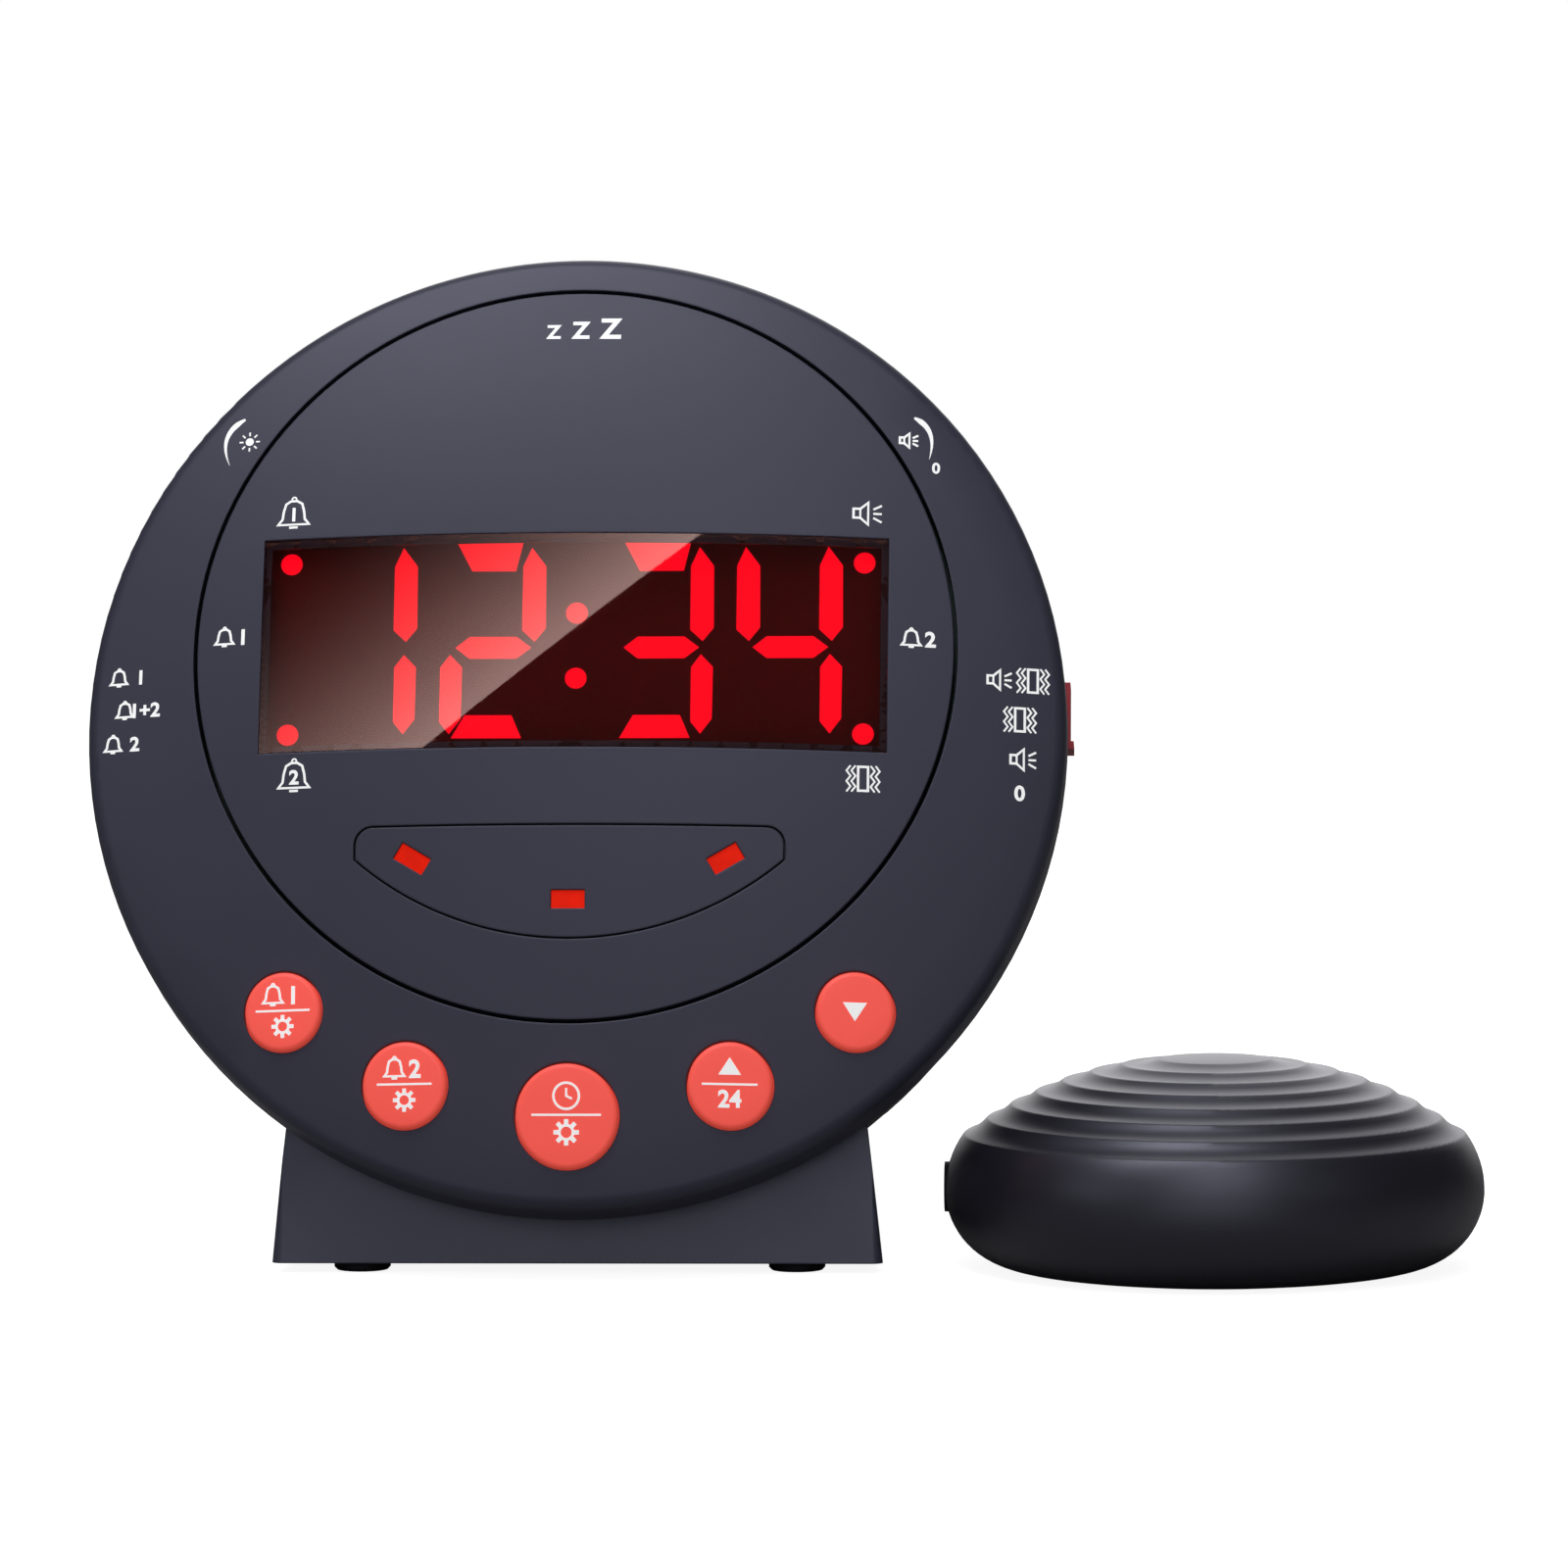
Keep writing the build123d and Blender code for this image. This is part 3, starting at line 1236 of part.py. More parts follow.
with BuildPart() as eccentric_weight:
    with BuildSketch(across_shaker(weight_span[0])) as half_disc:
        with Locations((0, motor_z)):
            Circle(weight_r)
            Rectangle(
                2 * weight_r, weight_r, align=(Align.CENTER, Align.MIN), mode=Mode.SUBTRACT
            )
            Circle(weight_hub_r)
            Circle(motor_shaft_r, mode=Mode.SUBTRACT)
    extrude(amount=weight_span[1] - weight_span[0])
save(eccentric_weight, "eccentric_weight")
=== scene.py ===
# %% [markdown]
# # A bed shaker alarm clock
#
# The solids of the clock and of its shaker are already made, and they are loaded here as a fixed
# frame. This lesson gives them their finishes, prints the marks on the face, sets up a small
# studio and points a camera at the pair. All lengths are in metres unless a name ends in _mm.

import math

import bpy
from mathutils import Matrix, Vector


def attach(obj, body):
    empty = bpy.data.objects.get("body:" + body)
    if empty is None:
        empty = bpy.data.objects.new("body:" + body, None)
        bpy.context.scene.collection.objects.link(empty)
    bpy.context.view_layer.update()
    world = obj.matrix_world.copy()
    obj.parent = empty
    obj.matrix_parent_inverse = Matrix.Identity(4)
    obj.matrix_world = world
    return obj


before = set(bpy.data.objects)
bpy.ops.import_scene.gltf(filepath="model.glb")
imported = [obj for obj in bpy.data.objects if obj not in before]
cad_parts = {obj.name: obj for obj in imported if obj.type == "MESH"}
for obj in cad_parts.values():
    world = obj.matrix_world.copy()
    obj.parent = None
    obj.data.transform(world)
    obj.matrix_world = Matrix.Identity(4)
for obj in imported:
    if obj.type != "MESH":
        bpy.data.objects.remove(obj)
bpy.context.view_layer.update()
print("pieces in the frame:", len(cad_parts))

# %% [markdown]
# ## Where things are
#
# The clock's head leans back, so its face has axes of its own: x to the right, u up in the face
# and h straight out of it. A mark could be laid flat and shrunk on to the face, but the face is
# part of a big sphere, so it is simpler to work out the height of the sphere under every point
# of the mark. That keeps the print exactly on the plastic.

# %% Places on the face
HEAD_MM = Vector((-29.65, -2.85, 75.3))
LEAN = math.radians(18.06)
DOME_R_MM = 254.0
DOME_TOP_MM = 17.8
FACE_UP = Vector((0, math.sin(LEAN), math.cos(LEAN)))
FACE_OUT = Vector((0, -math.cos(LEAN), math.sin(LEAN)))


def face_point(x, u, h):
    """Point of the head in metres, from its own three axes in millimetres."""
    return (HEAD_MM + Vector((x, 0, 0)) + FACE_UP * u + FACE_OUT * h) / 1000


def dome_point(x, u, proud):
    """Point over the domed face, proud of it by some millimetres."""
    h = DOME_TOP_MM - DOME_R_MM + math.sqrt((DOME_R_MM + proud) ** 2 - x * x - u * u)
    return face_point(x, u, h)


print("front of the face:", [round(c, 4) for c in dome_point(0, 0, 0)])

# %% [markdown]
# ## Colours and nodes
#
# Colours are given as hex values, which are meant for a screen. The renderer mixes light,
# so it needs the linear amounts, and one function turns one into the other. Every material below
# is a small tree of nodes, and one function adds a node with its settings and its links.


# %% Helpers for materials
def linear(text):
    """Linear colour of a hex value, with an alpha of 1."""
    channels = [int(text[i : i + 2], 16) / 255 for i in (1, 3, 5)]
    return [c / 12.92 if c <= 0.04045 else ((c + 0.055) / 1.055) ** 2.4 for c in channels] + [1.0]


def add_node(owner, kind, settings=None, **inputs):
    """Add a node to a material or the world.

    Settings are the node's own properties. Inputs are values, or sockets to link from. They go by
    their names, or as input_0, input_1 and so on where the names don't tell them apart.
    """
    node = owner.node_tree.nodes.new(kind)
    for name, value in (settings or {}).items():
        setattr(node, name, value)
    for name, value in inputs.items():
        if name.startswith("input_"):
            socket = node.inputs[int(name[6:])]
        else:
            wanted = name.replace("_", " ").lower()
            socket = [s for s in node.inputs if s.name.lower() == wanted and s.enabled][0]
        if isinstance(value, bpy.types.NodeSocket):
            owner.node_tree.links.new(value, socket)
        else:
            socket.default_value = value
    return node


def new_material(name):
    """Empty node material."""
    material = bpy.data.materials.new(name)
    material.use_nodes = True
    material.node_tree.nodes.clear()
    return material


def finish_material(material, shader):
    """Send a shader to the output."""
    add_node(material, "ShaderNodeOutputMaterial", Surface=shader.outputs[0])
    return material


def mottle(material, dark, light, size_mm):
    """Noise on the piece's own coordinates that runs between two colours."""
    place = add_node(material, "ShaderNodeTexCoord").outputs["Object"]
    noise = add_node(
        material, "ShaderNodeTexNoise", Vector=place, Scale=1000 / size_mm, Detail=3.0
    )
    mix = add_node(
        material,
        "ShaderNodeMix",
        {"data_type": "RGBA"},
        Factor=noise.outputs["Fac"],
        A=linear(dark),
        B=linear(light),
    )
    return noise, mix.outputs["Result"]


def grain(material, size_mm, depth_mm, edge_mm=0.0):
    """Fine bump of a moulded or turned surface, on edges that may be eased in the shading."""
    place = add_node(material, "ShaderNodeTexCoord").outputs["Object"]
    noise = add_node(
        material, "ShaderNodeTexNoise", Vector=place, Scale=1000 / size_mm, Detail=2.0
    )
    bump = add_node(
        material,
        "ShaderNodeBump",
        Height=noise.outputs["Fac"],
        Distance=depth_mm / 1000,
        Strength=1.0,
    )
    if edge_mm:
        eased = add_node(material, "ShaderNodeBevel", {"samples": 6}, Radius=edge_mm / 1000)
        material.node_tree.links.new(eased.outputs["Normal"], bump.inputs["Normal"])
    return bump.outputs["Normal"]


print("white paper is", [round(c, 3) for c in linear("#f4f4f2")])

# %% [markdown]
# ## Plastics of the clock
#
# The casing is ABS moulded in a spark-eroded tool, which leaves an even satin skin: it shows the
# lamps as a broad soft glow and never as a sharp shape. A plain colour would look like paint on a
# screen, so the colour drifts a little and the skin has a fine grain. The real grain is about
# 0.05 mm, too fine to show, so it is drawn at 0.25 mm. A moulded edge is never quite sharp, and
# the solids' edges are, so the casing's edges are eased by 0.35 mm in the shading alone. The coral
# keys are given a faint painted glow, so that their colour stays bright in the shade. The white ink
# further down gets the same painted glow, so that thin strokes stay white.


# %% Moulded plastics
DRIFT_MM = 14.0
# strength of the painted glow that the coral keys and the white ink are given
PAINTED_GLOW = 0.36


def moulded(
    name,
    dark,
    light,
    roughness,
    grain_mm=0.25,
    depth_mm=0.006,
    ior=1.53,
    glow=None,
    edge_mm=0.0,
):
    """Moulded surface with a drift of colour and a fine grain, and a painted glow where glow is
    given.
    """
    material = new_material(name)
    noise, colour = mottle(material, dark, light, DRIFT_MM)
    rough = add_node(
        material,
        "ShaderNodeMapRange",
        Value=noise.outputs["Fac"],
        To_Min=roughness - 0.03,
        To_Max=roughness + 0.03,
    )
    shader = add_node(
        material,
        "ShaderNodeBsdfPrincipled",
        Base_Color=colour,
        Roughness=rough.outputs["Result"],
        IOR=ior,
        Specular_Tint=linear("#dcdcf4"),
        # a given glow is painted light: the piece shines a little though it is no lamp
        Emission_Color=linear(glow or light),
        Emission_Strength=PAINTED_GLOW if glow else 0.0,
        Normal=grain(material, grain_mm, depth_mm, edge_mm=edge_mm),
    )
    return finish_material(material, shader)


# The casing: broad soft glow, no sharp shine.
satin_abs = moulded("satin_abs_slate", "#383847", "#3b3b4a", 0.44, edge_mm=0.35)
# A soft-touch skin: no shine to speak of, and a painted glow that keeps the colour bright in the
# shade.
coral_key_painted_glow = moulded(
    "soft_touch_key_coral_painted_glow", "#f4574c", "#fb5d52", 0.5, 0.3, 0.004, glow="#ff5a4a"
)
# Small parts: as the casing, in black and in red.
black_abs = moulded("satin_abs_black", "#18181b", "#1e1e22", 0.45)
red_abs = moulded("satin_abs_red", "#c32a2e", "#cd3034", 0.4)
# Acetal slides well, for plungers: milky and a little waxy.
white_pom = moulded("acetal_white", "#dedcd4", "#e8e6de", 0.4)
# The lacquer of a circuit board: shiny, and uneven over its tracks.
board_mask = moulded("solder_mask_green", "#1c5433", "#23623c", 0.3, 1.2, 0.01)
# The speaker's cone: dull and fibrous.
pressed_paper = moulded("pressed_paper_dark", "#211f1b", "#2d2a25", 0.85, 0.8, 0.03)
# Feet, gland and pad: dull black with hardly a highlight.
rubber = moulded("moulded_rubber_black", "#171718", "#1d1d1e", 0.7, 0.4, 0.01)
# The shaker: nearly black with a clear sheen, so that its ripples show as light lines. The IOR is
# above that of bare ABS, because its crests shine more than the casing does.
shaker_abs = moulded("satin_abs_near_black", "#12111a", "#15141d", 0.42, 0.3, 0.003, ior=1.85)
print("moulded plastics ready")

# %% [markdown]
# ## Metals
#
# Screws and frames inside are zinc-plated steel, the cells are tin cans and the weight is turned
# brass. They hardly show, but they are there when a cover comes off. Metals keep the default IOR
# and take their look from roughness.


# %% Metals
def metal(name, dark, light, roughness, size_mm):
    """Plated or turned metal with a faint change of tone."""
    material = new_material(name)
    noise, colour = mottle(material, dark, light, size_mm)
    rough = add_node(
        material,
        "ShaderNodeMapRange",
        Value=noise.outputs["Fac"],
        To_Min=roughness - 0.06,
        To_Max=roughness + 0.06,
    )
    shader = add_node(
        material,
        "ShaderNodeBsdfPrincipled",
        Base_Color=colour,
        Roughness=rough.outputs["Result"],
        Metallic=1.0,
        Normal=grain(material, 0.5, 0.002),
    )
    return finish_material(material, shader)


# Bluish grey with a soft shine.
zinc_steel = metal("zinc_plated_steel", "#9c9ea1", "#b6b8ba", 0.35, 4.0)
# Warm grey, rolled smooth.
tin_can = metal("tin_plated_can", "#a59d88", "#bcb39b", 0.3, 8.0)
# Paler and brighter, for the springs of the battery contacts.
nickel = metal("nickel_plated_spring", "#bdb8ab", "#cec9bd", 0.25, 3.0)
# Yellow, with the fine change of tone that turning leaves.
turned_brass = metal("turned_brass", "#a8843f", "#b8944f", 0.35, 2.0)
print("metals ready")

# %% [markdown]
# ## The display
#
# The display is a dark red block with bars that light up, behind a sheet of red-tinted acrylic.
# One could paint the digits on the window, but then they would not move against its frame when
# the viewer moves. Here the bars glow deep inside, and the window over them is really clear and
# tinted: it darkens what is behind it and mirrors the room. A polished sheet shows every flat facet
# of its mesh, so its material works out the exact direction of the dome at each spot. Its IOR is a
# little below that of bare acrylic, which takes off some of the mirror, as a coating does. The
# IOR of the small lenses is low too, so that they show their own red and hardly mirror the lamps.


# %% Display materials
def glowing(name, colour, glow, strength, roughness=0.4, ior=1.5):
    """Clear red piece with light behind it."""
    material = new_material(name)
    _, mixed = mottle(material, colour, glow, 3.0)
    shader = add_node(
        material,
        "ShaderNodeBsdfPrincipled",
        Base_Color=mixed,
        Roughness=roughness,
        IOR=ior,
        Emission_Color=linear(glow),
        Emission_Strength=strength,
    )
    return finish_material(material, shader)


ALONG_DOME = 0.97  # a face lies along the dome when its direction agrees at least this well


def dome_normal(material):
    """Exact normal of the dome on its two polished faces, and the mesh's own on the edges."""
    middle = face_point(0, 0, DOME_TOP_MM - DOME_R_MM)
    place = add_node(material, "ShaderNodeTexCoord").outputs["Object"]
    surface = add_node(material, "ShaderNodeNewGeometry")
    from_middle = add_node(
        material, "ShaderNodeVectorMath", {"operation": "SUBTRACT"}, input_0=place, input_1=middle
    )
    radial = add_node(
        material,
        "ShaderNodeVectorMath",
        {"operation": "NORMALIZE"},
        input_0=from_middle.outputs[0],
    ).outputs[0]
    facing = add_node(
        material,
        "ShaderNodeVectorMath",
        {"operation": "DOT_PRODUCT"},
        input_0=radial,
        input_1=surface.outputs["True Normal"],
    ).outputs["Value"]
    sign = add_node(material, "ShaderNodeMath", {"operation": "SIGN"}, input_0=facing)
    signed = add_node(
        material,
        "ShaderNodeVectorMath",
        {"operation": "SCALE"},
        input_0=radial,
        Scale=sign.outputs[0],
    )
    amount = add_node(material, "ShaderNodeMath", {"operation": "ABSOLUTE"}, input_0=facing)
    polished = add_node(
        material,
        "ShaderNodeMath",
        {"operation": "GREATER_THAN"},
        input_0=amount.outputs[0],
        input_1=ALONG_DOME,
    )
    pick = add_node(
        material,
        "ShaderNodeMix",
        {"data_type": "VECTOR"},
        Factor=polished.outputs[0],
        A=surface.outputs["Normal"],
        B=signed.outputs[0],
    )
    return pick.outputs["Result"]


def tinted_acrylic(name, tint):
    """Polished clear plastic with a strong tint."""
    material = new_material(name)
    _, colour = mottle(material, tint, tint, 20.0)
    shader = add_node(
        material,
        "ShaderNodeBsdfPrincipled",
        Base_Color=colour,
        Roughness=0.02,
        IOR=1.45,
        Transmission_Weight=1.0,
        Normal=dome_normal(material),
    )
    return finish_material(material, shader)


# Bars that light up: strong even red, from the front and from the side.
lit_segment = glowing("lit_display_segment", "#b00018", "#fa002c", 1.5)
# The unlit body round them: dull and smooth, so that the window over it looks deep.
display_block = moulded("display_block_unlit_red", "#6a0903", "#720b04", 0.7, 0.25, 0.0)
# The window: clear, reddish, and as clean a mirror as glass.
window_acrylic = tinted_acrylic("tinted_acrylic_window", "#d8a098")
# The alert lenses: red all through, lit a little from behind.
lens_red = glowing("clear_red_lens", "#8c1003", "#e61a00", 0.5, 0.45, 1.2)
print("display materials ready")

# %% [markdown]
# ## Dress the solids
#
# Each solid keeps its shape and gets its finish. The loaded meshes are loose triangles, which
# would show as flat facets. Welding their corners and then splitting only the sharp edges gives
# round shapes a round look, and it doesn't touch the stored mesh, because both are modifiers. The
# screws, shafts, pins and frames that the list leaves out are of zinc-plated steel.

# %% Give every solid its finish
FINISHES = {
    satin_abs: [
        "front_bezel",
        "snooze_panel",
        "rear_housing",
        "stand",
        "stand_base_plate",
        "battery_door",
        "alert_insert",
    ],
    coral_key_painted_glow: ["button_alarm_1", "button_alarm_2", "button_time", "button_up", "button_down"],
    black_abs: ["dimmer_wheel", "volume_wheel", "push_switches", "power_socket", "shaker_socket"],
    red_abs: ["alarm_select_knob", "mode_select_knob"],
    white_pom: [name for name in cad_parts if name.startswith("plunger_")],
    board_mask: ["main_board", "socket_board"],
    pressed_paper: ["speaker_cone"],
    rubber: ["rubber_feet", "cord_gland", "shaker_base_pad"],
    shaker_abs: ["shaker_top_shell", "shaker_bottom_shell"],
    tin_can: [
        "backup_cells",
        "shaker_motor",
        "dimmer_control",
        "volume_control",
        "alarm_select_switch",
        "mode_select_switch",
    ],
    nickel: ["battery_contacts"],
    turned_brass: ["eccentric_weight"],
    lit_segment: ["display_digits"],
    display_block: ["display_module"],
    window_acrylic: ["display_window"],
    lens_red: ["alert_lenses", "alert_lamps"],
}
WELD_MM = 0.005
SHARP = math.radians(32)
finish_of = {name: finish for finish, names in FINISHES.items() for name in names}
for name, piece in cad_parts.items():
    piece.data.materials.clear()
    piece.data.materials.append(finish_of.get(name, zinc_steel))
    piece.data.polygons.foreach_set("use_smooth", [True] * len(piece.data.polygons))
    weld = piece.modifiers.new("weld", "WELD")
    weld.merge_threshold = WELD_MM / 1000
    split = piece.modifiers.new("split", "EDGE_SPLIT")
    split.split_angle = SHARP
print("finishes given:", len(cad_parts))

# %% [markdown]
# ## Printed marks
#
# The white marks on the face are pad printed: a thin film of ink with crisp edges. They could be
# an image, but drawn shapes stay sharp at any size. Each mark is a set of strokes, given in
# millimetres round its own centre, and every point is then laid on the dome. The marks are plain
# pictograms and numbers: a bell for an alarm, a speaker for sound, a wavy box for shaking.

# %% Ink and strokes
INK_PROUD_MM = 0.05
CAP_SHARE = 0.7  # height of the font's capitals, as a share of its size
BOLD_SHARE = 0.045  # how far its outlines are thickened, as a share of the height
# Ink: chalky white, a little raised, with a painted glow so that thin strokes stay white.
ink = moulded("pad_printed_ink_white_painted_glow", "#e9e9ea", "#f2f2f3", 0.5, 0.2, 0.002, glow="#ffffff")


def polar(centre, radius, turn):
    """Point at an angle and a distance from a centre."""
    return centre[0] + radius * math.cos(turn), centre[1] + radius * math.sin(turn)


class Print:
    """Flat drawing in millimetres that grows stroke by stroke."""

    def __init__(self):
        self.points = []
        self.faces = []

    def patch(self, outline):
        """Filled convex patch."""
        first = len(self.points)
        self.points += [tuple(p) for p in outline]
        self.faces.append(tuple(range(first, len(self.points))))

    def stroke(self, path, width, closed=False):
        """Line of even width, or of the widths in a list, with mitred corners."""
        path = [Vector(p) for p in path]
        count = len(path)
        widths = width if isinstance(width, (list, tuple)) else [width] * count
        first = len(self.points)
        for i, point in enumerate(path):
            runs = []
            if closed or i:
                runs.append((point - path[i - 1]).normalized())
            if closed or i + 1 < count:
                runs.append((path[(i + 1) % count] - point).normalized())
            along = sum(runs, Vector((0, 0))).normalized()
            side = Vector((-along.y, along.x))
            stretch = 1 / max(0.5, abs(along.dot(runs[0])))
            for sign in (1, -1):
                self.points.append(tuple(point + side * (sign * widths[i] / 2 * stretch)))
        for i in range(count if closed else count - 1):
            a, b = first + 2 * i, first + 2 * ((i + 1) % count)
            self.faces.append((a, a + 1, b + 1, b))

    def ring(self, centre, radius, width, steps=24):
        """Round line."""
        turns = [2 * math.pi * i / steps for i in range(steps)]
        self.stroke([polar(centre, radius, turn) for turn in turns], width, True)

    def disc(self, centre, radius, steps=20):
        """Filled round patch."""
        turns = [2 * math.pi * i / steps for i in range(steps)]
        self.patch([polar(centre, radius, turn) for turn in turns])

    def letters(self, text, centre, height):
        """Plain letters or numbers, centred."""
        curve = bpy.data.curves.new("letters", "FONT")
        curve.body = text
        curve.align_x = "CENTER"
        curve.align_y = "CENTER"
        curve.size = height / CAP_SHARE
        curve.offset = BOLD_SHARE * height
        curve.resolution_u = 4
        holder = bpy.data.objects.new("letters", curve)
        mesh = bpy.data.meshes.new_from_object(holder)
        flat = (0, 1)
        lows = [min(v.co[i] for v in mesh.vertices) for i in flat]
        highs = [max(v.co[i] for v in mesh.vertices) for i in flat]
        first = len(self.points)
        for v in mesh.vertices:
            self.points.append(tuple(v.co[i] - (lows[i] + highs[i]) / 2 + centre[i] for i in flat))
        for face in mesh.polygons:
            self.faces.append(tuple(first + i for i in face.vertices))
        bpy.data.objects.remove(holder)
        bpy.data.meshes.remove(mesh)


def print_on_face(name, drawing, body, proud=0.0):
    """Lay a drawing on the dome and fix it to a body."""
    mesh = bpy.data.meshes.new(name)
    points = [dome_point(x, u, proud + INK_PROUD_MM) for x, u in drawing.points]
    mesh.from_pydata(points, [], drawing.faces)
    mesh.materials.append(ink)
    mesh.update()
    for face in mesh.polygons:
        if face.normal.dot(FACE_OUT) < 0:
            face.flip()
    piece = bpy.data.objects.new(name, mesh)
    bpy.context.scene.collection.objects.link(piece)
    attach(piece, body)
    print(name, "faces:", len(mesh.polygons))


# %% [markdown]
# ## Pictograms
#
# Bells, speakers and shaking boxes repeat in several sizes, so each is one function that takes a
# centre and a size. Its lines are given for a size of one, and their width stays the same in all.


# %% Pictograms
LINE_MM = 0.34


def placed(path, x, u, size):
    """Path of a drawing of size one, brought to its size and its centre."""
    return [(x + px * size, u + pu * size) for px, pu in path]


def bell(drawing, x, u, size, number=""):
    """Bell in outline, with an optional number in it."""
    left = [(-0.1, 0.46), (-0.26, 0.36), (-0.33, 0.1), (-0.36, -0.16), (-0.5, -0.34)]
    right = [(-px, pu) for px, pu in reversed(left)]
    drawing.stroke(placed(left[::-1] + right[::-1], x, u, size), LINE_MM, True)
    drawing.ring((x, u + 0.52 * size), 0.07 * size, LINE_MM * 0.7, 12)
    drawing.stroke(placed([(-0.14, -0.44), (0.14, -0.44)], x, u, size), LINE_MM)
    if number:
        drawing.letters(number, (x, u), 0.44 * size)


def speaker(drawing, x, u, size):
    """Speaker in outline with three sound strokes."""
    body = [(-0.5, -0.17), (-0.5, 0.17), (-0.26, 0.17), (0.02, 0.42), (0.02, -0.42), (-0.26, -0.17)]
    drawing.stroke(placed(body, x, u, size), LINE_MM, True)
    drawing.stroke(placed([(-0.26, 0.17), (-0.26, -0.17)], x, u, size), LINE_MM * 0.8)
    for rise in (-1, 0, 1):
        sound = [(0.2, rise * 0.16), (0.5, rise * 0.32)]
        drawing.stroke(placed(sound, x, u, size), LINE_MM * 0.9)


def shaking(drawing, x, u, size):
    """Upright box between wavy lines."""
    box = [(-0.17, -0.42), (-0.17, 0.42), (0.17, 0.42), (0.17, -0.42)]
    drawing.stroke(placed(box, x, u, size), LINE_MM, True)
    for side in (-1, 1):
        for out in (0.33, 0.5):
            wave = [
                (side * (out + (0.07 if i % 2 else -0.07)), 0.46 - 0.184 * i) for i in range(6)
            ]
            drawing.stroke(placed(wave, x, u, size), LINE_MM * 0.75)


def rays(drawing, centre, near, far, width):
    """Eight short strokes that point away from a centre."""
    for i in range(8):
        turn = math.pi * i / 4
        drawing.stroke([polar(centre, near, turn), polar(centre, far, turn)], width)


def cog(drawing, x, u, size):
    """Small gear wheel, the usual sign for setting."""
    drawing.ring((x, u), 0.27 * size, LINE_MM * 1.1)
    rays(drawing, (x, u), 0.3 * size, 0.5 * size, 0.17 * size)


def clock_face(drawing, x, u, size):
    """Round dial with two hands."""
    drawing.ring((x, u), 0.44 * size, LINE_MM, 32)
    drawing.stroke(placed([(0, 0.26), (0, 0), (0.2, -0.1)], x, u, size), LINE_MM * 0.9)


def sun(drawing, x, u, size):
    """Sun with eight rays."""
    drawing.disc((x, u), 0.2 * size)
    rays(drawing, (x, u), 0.31 * size, 0.5 * size, LINE_MM * 0.7)


def crescent(drawing, ends_and_middle, widest):
    """Arc through three points that tapers from its first end to a hair at the last."""
    a, b, c = [Vector(p) for p in ends_and_middle]
    steps, thinnest = 14, 0.04
    path, widths = [], []
    for i in range(steps + 1):
        t = i / steps
        path.append(a * (2 * (t - 0.5) * (t - 1)) + b * (4 * t * (1 - t)) + c * (2 * t * (t - 0.5)))
        widths.append(max(thinnest, widest * (1 - t) ** 0.7 * min(1, 0.35 + 4 * t)))
    drawing.stroke(path, widths)


# %% [markdown]
# ## Where the marks go
#
# Each mark goes to its own place on the face, given by x and u in millimetres from the middle. The
# row of Z stands at the top of the snooze panel. The marks at the window name what its four dots
# stand for, and the ones on the rim stand beside the wheels and the slides. The marks on the keys
# ride with the keys, so each key has a piece of its own.

# %% Marks on the snooze panel
panel_print = Print()
ROW_U, TALLEST = 58.3, 3.1
for x, height in ((-3.9, 2.1), (0, 2.6), (4.3, TALLEST)):
    panel_print.letters("Z", (x, ROW_U + (height - TALLEST) / 2), height)
bell(panel_print, -40.6, 30.2, 4.5, "1")
bell(panel_print, -39.4, -9.0, 4.5, "2")
speaker(panel_print, 41.6, 30.1, 4.0)
shaking(panel_print, 41.4, -9.3, 4.1)
for x, u, number in ((-48.8, 12.0, "1"), (49.3, 11.5, "2")):
    bell(panel_print, x - 1.3, u, 2.7)
    panel_print.letters(number, (x + 1.4, u), 2.2)
print_on_face("snooze_panel_marks", panel_print, "snooze")

# %% Marks on the bezel
bezel_print = Print()
crescent(bezel_print, [(-48.4, 45.5), (-51.0, 42.6), (-50.4, 38.4)], 0.95)
sun(bezel_print, -47.6, 41.9, 3.0)
crescent(bezel_print, [(48.0, 45.3), (50.3, 42.9), (50.2, 38.9)], 0.95)
speaker(bezel_print, 47.3, 41.7, 2.6)
bezel_print.letters("0", (51.2, 37.6), 1.6)
for x, u, number in ((-63.3, 6.9, "1"), (-62.3, 2.0, "1+2"), (-63.9, -2.9, "2")):
    bell(bezel_print, x - 2.2, u, 2.5)
    bezel_print.letters(number, (x + 1.0, u), 2.0)
speaker(bezel_print, 60.5, 6.1, 3.4)
shaking(bezel_print, 65.2, 6.2, 4.0)
shaking(bezel_print, 63.4, 0.4, 4.0)
speaker(bezel_print, 63.9, -5.4, 3.6)
bezel_print.letters("0", (63.4, -10.3), 2.1)
print_on_face("bezel_marks", bezel_print, "clock")

# %% Marks on the buttons
BUTTON_PROUD_MM = 0.8
BAR_MM = 0.3
BUTTONS = {
    "alarm_1": (-40.46, -42.28),
    "alarm_2": (-22.96, -52.92),
    "time": (0, -57.33),
    "up": (22.96, -52.92),
    "down": (40.46, -42.28),
}
for key, (x, u) in BUTTONS.items():
    drawing = Print()
    if key == "down":
        drawing.patch([(x - 1.7, u + 1.1), (x + 1.7, u + 1.1), (x, u - 1.5)])
    else:
        half = 4.9 if key == "time" else 3.9
        drawing.stroke([(x - half, u), (x + half, u)], BAR_MM)
        if key == "up":
            drawing.patch([(x - 1.6, u + 1.3), (x, u + 3.7), (x + 1.6, u + 1.3)])
            drawing.letters("24", (x, u - 2.0), 2.3)
        elif key == "time":
            clock_face(drawing, x, u + 2.6, 4.1)
            cog(drawing, x, u - 2.4, 3.6)
        else:
            bell(drawing, x - 1.4, u + 2.1, 2.9)
            drawing.letters(key[-1], (x + 1.5, u + 2.1), 2.4)
            cog(drawing, x, u - 2.2, 3.2)
    print_on_face(f"marks_{key}", drawing, f"key_{key}", BUTTON_PROUD_MM)

